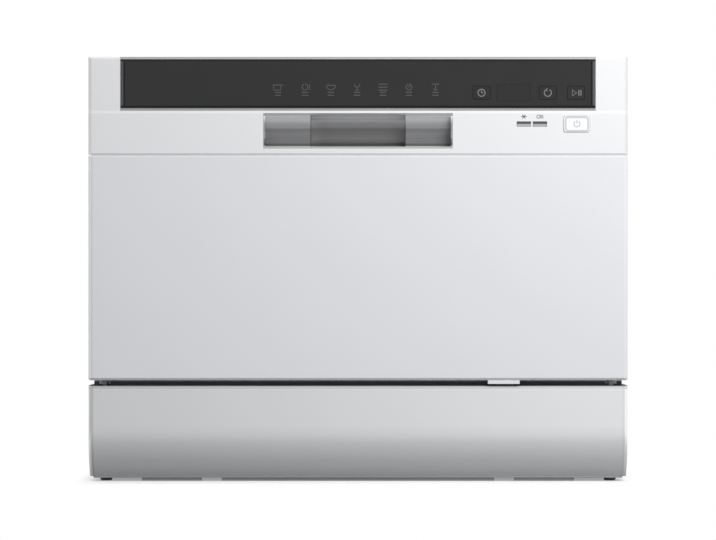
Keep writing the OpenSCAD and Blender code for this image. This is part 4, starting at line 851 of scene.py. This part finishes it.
@dataclass
class StripPrint:
    """Marks printed on the control strip and on the white panel under it."""

    strip_y: float = -0.2496
    white_y: float = -0.2486
    key_y: float = -0.250
    power_y: float = -0.2494
    mark_z: float = 0.4030
    dot_z: float = 0.3962
    mark_x: tuple[float, ...] = (-0.0815, -0.0540, -0.0275, -0.0010, 0.0255, 0.0519, 0.0789)
    key_x: tuple[float, ...] = (0.1258, 0.1933, 0.2220)
    key_z: float = 0.3972
    power_x: float = 0.2230
    power_z: float = 0.3654
    lamp_x: tuple[float, ...] = (0.1690, 0.1854)
    line: float = 0.0009
    proud: float = 0.00008
    picture_w: float = 0.0046
    picture_h: float = 0.0030
    bar_half: float = 0.0032
    bar_rise: float = 0.0015
    bar_width: float = 0.0010
    key_r: float = 0.0036
    frame_half: Pair = (0.0114, 0.0068)
    frame_r: float = 0.0022
    frame_width: float = 0.0018
    switch_r: float = 0.0030
    switch_width: float = 0.0013
    lamp_rise: float = 0.0076

    def stroke(self, flat: Array, y: float, closed: bool = False, width: float | None = None) -> Patch:
        """A printed line of even width.

        Args:
            flat: points of the line in X and Z.
            y: depth of the surface that it is printed on.
            closed: whether the line is a ring.
            width: width of the line, or None for the usual one.

        Returns:
            The line as a thin raised bar.
        """
        half = (width or self.line) / 2
        section = np.array([[-half, -self.proud], [half, -self.proud], [half, self.proud], [-half, self.proud]])
        return sweep(at_y(np.asarray(flat, float), y), section, Y_AXIS, closed)

    def ring(self, x: float, z: float, r: float, start: float = 0.0, end: float = 360.0, steps: int = 20) -> Array:
        """Points of an arc round (x, z), as centre + r (sin t, cos t) with t from the top."""
        t = np.radians(np.linspace(start, end, steps, endpoint=end - start < 360))
        return np.stack([x + r * np.sin(t), z + r * np.cos(t)], axis=1)

    def programmes(self) -> list[Patch]:
        """Seven plain dish pictures, each with two short bars under it.

        Returns:
            Their lines.
        """
        w, h, y, bar = self.picture_w, self.picture_h, self.strip_y, self.bar_half
        pictures = (
            [[[-w, h * 0.5], [-w, -h], [w * 0.6, -h], [w * 0.6, h * 0.5]], [[-w * 1.1, h * 0.7], [w * 1.2, h * 0.7]]],
            [self.ring(0, 0, h), [[w, h], [w, -h]]],
            [self.ring(0, h * 0.6, w, 100, 260), [[-w, h * 0.6], [w, h * 0.6]]],
            [self.ring(0, h * 0.9, h * 0.9, 90, 270), [[0, 0], [0, -h]], [[-h * 0.6, -h], [h * 0.6, -h]]],
            [[[-w, h], [w, h]], [[-w, 0], [w, 0]], [[-w, -h], [w, -h]]],
            [self.ring(0, 0, h), [[0, 0], [0, h * 0.7]], [[0, 0], [h * 0.5, 0]]],
            [[[-w * 0.8, h], [w * 0.8, h]], [[0, h], [0, -h]], self.ring(0, -h * 0.2, h * 0.8, 120, 240)],
        )
        patches = []
        for x, lines in zip(self.mark_x, pictures):
            patches += [self.stroke(np.add(line, (x, self.mark_z)), y) for line in lines]
            for z in (self.dot_z - self.bar_rise, self.dot_z + self.bar_rise):
                patches.append(self.stroke([[x - bar, z], [x + bar, z]], y, width=self.bar_width))
        return patches

    def keys(self) -> list[list[Patch]]:
        """Marks on the three dark keys: a clock, a turning arrow, and a triangle with two bars.

        Each mark is a list of lines round its key's middle, with whether the line is a ring.

        Returns:
            The lines of each mark.
        """
        r = self.key_r
        marks = (
            [(self.ring(0, 0, r), True), ([[0, r * 0.6], [0, 0], [r * 0.5, 0]], False)],
            [
                (self.ring(0, 0, r, 30, 330), False),
                ([[-r * 0.1, r * 1.25], [-r * 0.55, r * 0.85], [-r * 0.1, r * 0.45]], False),
            ],
            [
                ([[-r, -r * 0.8], [-r, r * 0.8], [r * 0.2, 0]], True),
                *(([[x, -r * 0.8], [x, r * 0.8]], False) for x in (r * 0.8, r * 1.4)),
            ],
        )
        return [
            [self.stroke(np.add(line, (x, self.key_z)), self.key_y, closed) for line, closed in lines]
            for x, lines in zip(self.key_x, marks)
        ]

    def switch(self) -> list[Patch]:
        """The power key's frame and its sign, an open ring with a bar.

        Returns:
            Their lines.
        """
        x, z, y, width = self.power_x, self.power_z, self.power_y, self.switch_width
        w, h = self.frame_half
        return [
            self.stroke(rounded_loop(x - w, x + w, z - h, z + h, self.frame_r), y, True, self.frame_width),
            self.stroke(self.ring(x, z + 0.0002, self.switch_r, 35, 325), y, width=width),
            self.stroke([[x, z + 0.0004], [x, z + 0.0042]], y, width=width),
        ]

    def lamps(self) -> list[Patch]:
        """A star over the left lamp, and a ring with two bars over the right one.

        Returns:
            Their lines.
        """
        z, y = self.power_z + self.lamp_rise, self.white_y
        left, right = self.lamp_x
        star = [
            self.stroke([[left - 0.0031 * c, z - 0.0021 * s], [left + 0.0031 * c, z + 0.0021 * s]], y)
            for c, s in ((1.0, 0.0), (0.5, 1.0), (-0.5, 1.0))
        ]
        loop = self.stroke(self.ring(right - 0.0014, z, 0.0017, 0, 360, 14), y, True)
        bars = [self.stroke([[right + d, z - 0.0020], [right + d, z + 0.0020]], y) for d in (0.0012, 0.0029)]
        return [*star, loop, *bars]

    def build(self) -> None:
        """Makes the printed pieces."""
        bodies = ("delay_key", "program_key", "start_key")
        pieces = (
            ("programme_marks", self.programmes(), "print_on_strip", "door"),
            *((f"{body}_mark", lines, "print_on_key", body) for body, lines in zip(bodies, self.keys())),
            ("power_mark", self.switch(), "print_pale", "power_key"),
            ("lamp_marks", self.lamps(), "print_dark", "door"),
        )
        for name, lines, finish, body in pieces:
            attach(make_piece(name, lines, finish), body)


@dataclass
class DoorStrips:
    """Thin strips: one in the door's seam, one under the door, and the lip and rim under the kickplate."""

    bevel: float = 0.0003
    seam_bevel: float = 0.0002
    seam_half: float = 0.2735
    seam_z: Pair = (0.3333, 0.3345)
    seam_y: Pair = (-0.2479, -0.2469)
    arm_clear: Pair = (0.2540, 0.2655)
    draught_half: float = 0.2705
    draught_z: Pair = (0.0965, 0.1036)
    draught_y: Pair = (-0.2290, -0.2265)
    lip_half: float = 0.2715
    lip_z: Pair = (0.0034, 0.0056)
    lip_y: Pair = (-0.2256, -0.2232)
    rim_x: tuple[Pair, ...] = ((-0.2220, -0.1603), (-0.1398, 0.1398), (0.1603, 0.2220))
    rim_z: Pair = (0.0006, 0.0037)
    rim_y: Pair = (-0.2245, -0.2218)

    def bar(self, x: Pair, z: Pair, y: Pair, bevel: float) -> Patch:
        """A flat bar whose outline is a rectangle in X and Z."""
        outline = np.array([[x[0], z[0]], [x[1], z[0]], [x[1], z[1]], [x[0], z[1]]])
        return plate(outline, -y[1], -y[0], bevel, FACING_FRONT)

    def build(self) -> None:
        """Makes the strips. The one under the door leaves room for the hinge arms, and the rim for the notches."""
        seam, draught, lip = self.seam_half, self.draught_half, self.lip_half
        near, far = self.arm_clear
        under_door = [(-draught, -far), (-near, near), (far, draught)]
        strips = (
            ("seam_strip", [(-seam, seam)], self.seam_z, self.seam_y, self.seam_bevel, "white_plastic", "door"),
            ("draught_strip", under_door, self.draught_z, self.draught_y, self.bevel, "draught_grey", "cabinet"),
            ("kick_lip", [(-lip, lip)], self.lip_z, self.lip_y, self.bevel, "kick_moulding", "cabinet"),
            ("base_rim", self.rim_x, self.rim_z, self.rim_y, self.bevel, "base_moulding", "cabinet"),
        )
        for name, spans, z, y, bevel, finish, body in strips:
            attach(make_piece(name, [self.bar(x, z, y, bevel) for x in spans], finish), body)


@dataclass
class WireBasket:
    """The basket: two sets of bent wires, three rings, tines, and carriers for the wheels."""

    half_x: float = 0.226
    front_y: float = -0.178
    rear_y: float = 0.194
    floor_z: float = 0.151
    rim_z: float = 0.249
    wire: float = 0.0017
    rim: float = 0.0025
    bend: float = 0.012
    corner: float = 0.014
    columns: int = 13
    rows: int = 11
    tine_x: Pair = (-0.056, 0.038)
    tine_h: float = 0.062
    comb_gap: float = 0.0002
    clip_top: float = 0.0014
    carrier_rows: tuple[int, int] = (4, 9)
    carrier_x: float = 0.204
    carrier_half: float = 0.008
    carrier_t: float = 0.003
    carrier_bevel: float = 0.0006
    axle_z: float = 0.1253
    axle_r: float = 0.003
    wheel_w: float = 0.008
    gap: float = 0.0004
    shelf_rows: tuple[int, int] = (1, 9)
    shelf_rod: Pair = (-0.219, 0.225)
    shelf_r: float = 0.002
    shelf_arm_r: float = 0.0018

    def row_y(self) -> Array:
        """Depths of the wires that run from side to side."""
        return np.linspace(self.front_y, self.rear_y, self.rows)

    def wires(self) -> list[Patch]:
        """The bent wires, the rings and the tines.

        Returns:
            Their surfaces.
        """
        z0, z1, b, wire = self.floor_z, self.rim_z, self.bend, self.wire
        x0, y0, y1 = self.half_x, self.front_y, self.rear_y
        patches = []
        for x in np.linspace(-x0, x0, self.columns)[1:-1]:
            line = np.array([[x, y0, z1], [x, y0, z0], [x, y1, z0], [x, y1, z1]])
            patches.append(rod(bent_line(line, b), wire, X_AXIS))
        rows = self.row_y()[1:-1]
        for y in rows:
            line = np.array([[-x0, y, z1], [-x0, y, z0 + wire], [x0, y, z0 + wire], [x0, y, z1]])
            patches.append(rod(bent_line(line, b), wire, Y_AXIS))
        loop = rounded_loop(-x0, x0, y0, y1, self.corner, 7)
        for z, r in ((z1, self.rim), ((z0 + z1) / 2, wire), (z0 + b + wire, wire)):
            patches.append(rod(np.column_stack([loop, np.full(len(loop), z)]), r, Z_AXIS, True))
        foot_z = z0 + 3 * wire + self.comb_gap
        for x in self.tine_x:
            patches.append(rod(np.array([[x, rows[0] - wire, foot_z], [x, rows[-1] + wire, foot_z]]), wire, X_AXIS))
            patches += [rod(np.array([[x, y, foot_z], [x, y, z0 + self.tine_h]]), wire, X_AXIS) for y in rows]
        return patches

    def carrier(self, way: int, y: float) -> list[Patch]:
        """One wheel carrier, a plate with a round lower end, and its headed axle.

        Args:
            way: -1 on the left and 1 on the right.
            y: depth of the axle.

        Returns:
            The plate and the axle.
        """
        half, x, z = self.carrier_half, self.carrier_x, self.axle_z
        top = self.floor_z + 2 * self.wire + self.clip_top
        t = np.linspace(0, math.pi, 13)
        round_end = np.stack([y - half * np.cos(t), z - half * np.sin(t)], axis=1)
        outline = np.concatenate([round_end, [[y + half, top], [y - half, top]]])
        out = X_AXIS * way
        body = plate(outline, x - self.carrier_t, x, self.carrier_bevel, np.array([Y_AXIS, Z_AXIS, out]))
        r, reach = self.axle_r, self.wheel_w + 2 * self.gap
        head = [[r + 0.002, reach], [r + 0.002, reach + 0.0014], [r + 0.001, reach + 0.002]]
        profile = np.array([[r, -0.001], [r, reach], *head])
        return [body, lathe(profile, out * x + Y_AXIS * y + Z_AXIS * z, out, Y_AXIS, 20)]

    def carriers(self) -> list[Patch]:
        """The four wheel carriers with their axles, and the cup shelf's rod on its two arms.

        Returns:
            Their surfaces.
        """
        patches = []
        for way in (-1, 1):
            for y in self.row_y()[list(self.carrier_rows)]:
                patches += self.carrier(way, y)
        x, z = self.shelf_rod
        ends = self.row_y()[list(self.shelf_rows)]
        patches.append(rod(np.array([[x, ends[0], z], [x, ends[1], z]]), self.shelf_r, X_AXIS))
        for y in ends:
            patches.append(rod(np.array([[-self.half_x, y, z], [x, y, z]]), self.shelf_arm_r, Y_AXIS))
        return patches

    def build(self) -> None:
        """Makes the basket's wire work."""
        piece = make_piece("basket_wire_work", self.wires() + self.carriers(), "nylon_wire", 50.0)
        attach(piece, "rack")
        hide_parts("rack_basket", "rack_walls", "rack_tines", "rack_carriers")


@dataclass
class MouthSeal:
    """The bulb seal round the top and sides of the tub's mouth."""

    inner_x: float = 0.244
    outer_x: float = 0.252
    bottom_z: float = 0.109
    inner_top: float = 0.412
    corner: float = 0.026
    front_y: float = -0.1996
    back_y: float = -0.190

    def section(self) -> Array:
        """Outline of the seal: a flat foot at the back and a round bulb with two grooves in front.

        Returns:
            The closed outline, across the seal and then forward to back.
        """
        half = (self.outer_x - self.inner_x) / 2
        depth = self.back_y - self.front_y
        t = np.linspace(math.pi, 0, 13)
        bulb = np.stack([half * 0.82 * np.cos(t), -(depth * 0.42) * np.sin(t) - depth * 0.08], axis=1)
        foot = np.array([[0.55, 0.10], [1, 0.18], [1, 0.5], [-1, 0.5], [-1, 0.18], [-0.55, 0.10]]) * (half, depth)
        return np.concatenate([bulb, foot])

    def build(self) -> None:
        """Makes the seal."""
        middle = (self.inner_x + self.outer_x) / 2
        top = self.inner_top + middle - self.inner_x
        corners = np.array([[-middle, self.bottom_z], [-middle, top], [middle, top], [middle, self.bottom_z]])
        path = at_y(bent_line(corners, self.corner + middle - self.inner_x, 12), (self.front_y + self.back_y) / 2)
        piece = make_piece("mouth_seal", [sweep(path, self.section(), Y_AXIS, False)], "seal", 40.0)
        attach(piece, "cabinet")
        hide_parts("door_gasket")


@dataclass
class SprayArm:
    """The two bladed spray arm with its hub and nozzles."""

    centre: Pair = (0.0, 0.018)
    low_z: float = 0.122
    root_h: float = 0.013
    tip_h: float = 0.010
    root_w: float = 0.026
    tip_w: float = 0.014
    reach: float = 0.185
    hub_r: float = 0.021
    hub_h: float = 0.019
    plain_x: float = 0.03
    turned: float = 24.0
    sections: int = 61
    around: int = 28
    nozzles: int = 6
    nozzle_x: Pair = (0.044, 0.165)
    nozzle_y: float = 0.004

    def share(self, s: Array) -> Array:
        """How far along a blade a place is, from 0 at the hub to 1 at the tip's round."""
        return np.clip((np.abs(s) - self.plain_x) / (self.reach - self.tip_w - self.plain_x), 0, 1)

    def blade(self) -> Patch:
        """One closed surface from tip to tip.

        The half width falls from the root's to the tip's along the arm and ends in a half circle.
        Each section is a superellipse of power 3, so that the blade is flat with soft edges.

        Returns:
            The closed surface.
        """
        s = np.sin(np.linspace(-math.pi / 2, math.pi / 2, self.sections)) * self.reach
        share = self.share(s)
        width = self.root_w + (self.tip_w - self.root_w) * share
        past = np.clip((np.abs(s) - (self.reach - self.tip_w)) / self.tip_w, 0, 0.999)
        width = width * np.sqrt(1 - past**2)
        height = (self.root_h + (self.tip_h - self.root_h) * share) / 2 * np.sqrt(1 - past**4)
        t = np.linspace(0, 2 * math.pi, self.around, endpoint=False)
        cos, sin = np.cos(t), np.sin(t)
        flat = np.sign(cos) * np.abs(cos) ** (2 / 3)
        high = np.sign(sin) * np.abs(sin) ** (2 / 3)
        x = np.broadcast_to(s[:, None], (self.sections, self.around))
        y = width[:, None] * flat[None, :]
        z = self.root_h / 2 + height[:, None] * high[None, :]
        points = np.stack([x, y, z], axis=-1).reshape(-1, 3)
        return Patch(points, tube_faces(self.sections, self.around))

    def fittings(self) -> list[Patch]:
        """The hub with its domed cap, and twelve nozzle collars.

        Returns:
            Their surfaces.
        """
        r, h = self.hub_r, self.hub_h
        cap = [[r, h - 0.005], [r - 0.002, h - 0.002], [r - 0.006, h - 0.0006], [0.004, h]]
        patches = [lathe(np.array([[r - 0.002, 0.0005], [r, 0.002], *cap]), np.zeros(3), Z_AXIS, X_AXIS, 40)]
        collar = np.array([[0.0040, -0.001], [0.0038, 0.0006], [0.0030, 0.0012], [0.0018, 0.0012], [0.0014, 0.0002]])
        for way in (1, -1):
            for i, x in enumerate(np.linspace(*self.nozzle_x, self.nozzles)):
                y = self.nozzle_y if i % 2 == 0 else -self.nozzle_y
                top = self.root_h / 2 + (self.root_h + (self.tip_h - self.root_h) * self.share(x)) / 2
                patches.append(lathe(collar, np.array([x * way, y * way, top]), Z_AXIS, X_AXIS, 16))
        return patches

    def build(self) -> None:
        """Makes the arm, turned as it stands at rest."""
        patch = joined([self.blade(), *self.fittings()])
        a = math.radians(self.turned)
        turn = np.array([[math.cos(a), math.sin(a), 0], [-math.sin(a), math.cos(a), 0], [0, 0, 1.0]])
        placed = Patch(patch.points @ turn + np.array([*self.centre, self.low_z]), patch.faces)
        piece = make_piece("spray_arm_moulding", [placed], "grey_plastic", 40.0)
        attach(piece, "sprayer")
        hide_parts("spray_arm")


@dataclass
class ScrewHeads:
    """Domed heads with a cross recess over the plain screws of the back and of the liner, all facing +Y."""

    radius: float = 0.0036
    low: float = 0.0003
    dome: float = 0.0016
    arm: float = 0.0006
    deep: float = 0.0009
    shank_r: float = 0.002
    shank_l: float = 0.006
    turn: float = 0.7
    rings: int = 13
    around: int = 48

    def screw(self, place: Array, along: Array) -> list[Patch]:
        """A head as a height over a disc, and the shank behind it.

        The height is low + dome (1 - (r / radius) squared) less a cross whose depth fades out at the
        edges of its arms.

        Args:
            place: middle of the head's seat.
            along: unit vector along one arm of the cross.

        Returns:
            The closed head and the closed shank.
        """
        r = np.linspace(0.0002, self.radius, self.rings)[:, None]
        t = np.linspace(0, 2 * math.pi, self.around, endpoint=False)[None, :]
        u, v = r * np.cos(t), r * np.sin(t)
        near = np.minimum(np.abs(u), np.abs(v))
        cut = np.clip((self.arm * 1.5 - near) / self.arm, 0, 1) * np.clip((self.radius * 0.72 - r) / 0.0004, 0, 1)
        height = self.low + self.dome * (1 - (r / self.radius) ** 2) - self.deep * cut
        disc = place + u[..., None] * along + v[..., None] * np.cross(Y_AXIS, along)
        points = np.concatenate([disc + height[..., None] * Y_AXIS, disc[-1:]])
        head = Patch(points.reshape(-1, 3), tube_faces(self.rings + 1, self.around))
        wide, long = self.shank_r, self.shank_l
        profile = np.array([[wide * 0.4, -long], [wide, wide - long], [wide, 0.0001]])
        return [head, lathe(profile, place, Y_AXIS, along, 14)]

    def set_of(self, name: str, node: str, body: str, places: list[Pair], y: float) -> None:
        """Makes the screws of one node, each turned a little further than the last.

        Args:
            name: the piece's name.
            node: the CAD node that it stands for.
            body: the body that it rides on.
            places: X and Z of each screw.
            y: depth of the screws' seats.
        """
        patches = []
        for k, (x, z) in enumerate(places):
            along = np.array([math.cos(self.turn * k), 0.0, math.sin(self.turn * k)])
            patches += self.screw(np.array([x, y, z]), along)
        piece = make_piece(name, patches, "zinc", 35.0)
        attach(piece, body)
        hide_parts(node)

    def build(self) -> None:
        """Makes both sets."""
        back = [(s * 0.2663, z) for s in (-1, 1) for z in (0.1, 0.2, 0.3)] + [(x, 0.4278) for x in (-0.17, 0.0, 0.17)]
        self.set_of("back_screw_heads", "back_screws", "cabinet", back, 0.248)
        liner = [(s * 0.2645, z) for s in (-1, 1) for z in (0.211, 0.291, 0.371)]
        self.set_of("liner_screw_heads", "liner_screws", "door", liner, -0.200)


def main() -> None:
    """Builds the scene in order."""
    logging.basicConfig(level=logging.INFO, format="%(message)s")
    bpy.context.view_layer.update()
    builders = (Studio, Dresser, StripPrint, DoorStrips, WireBasket, MouthSeal, SprayArm, ScrewHeads)
    for builder in builders:
        builder().build()
        log.info("built %s", builder.__name__)


if __name__ == "__main__":
    main()
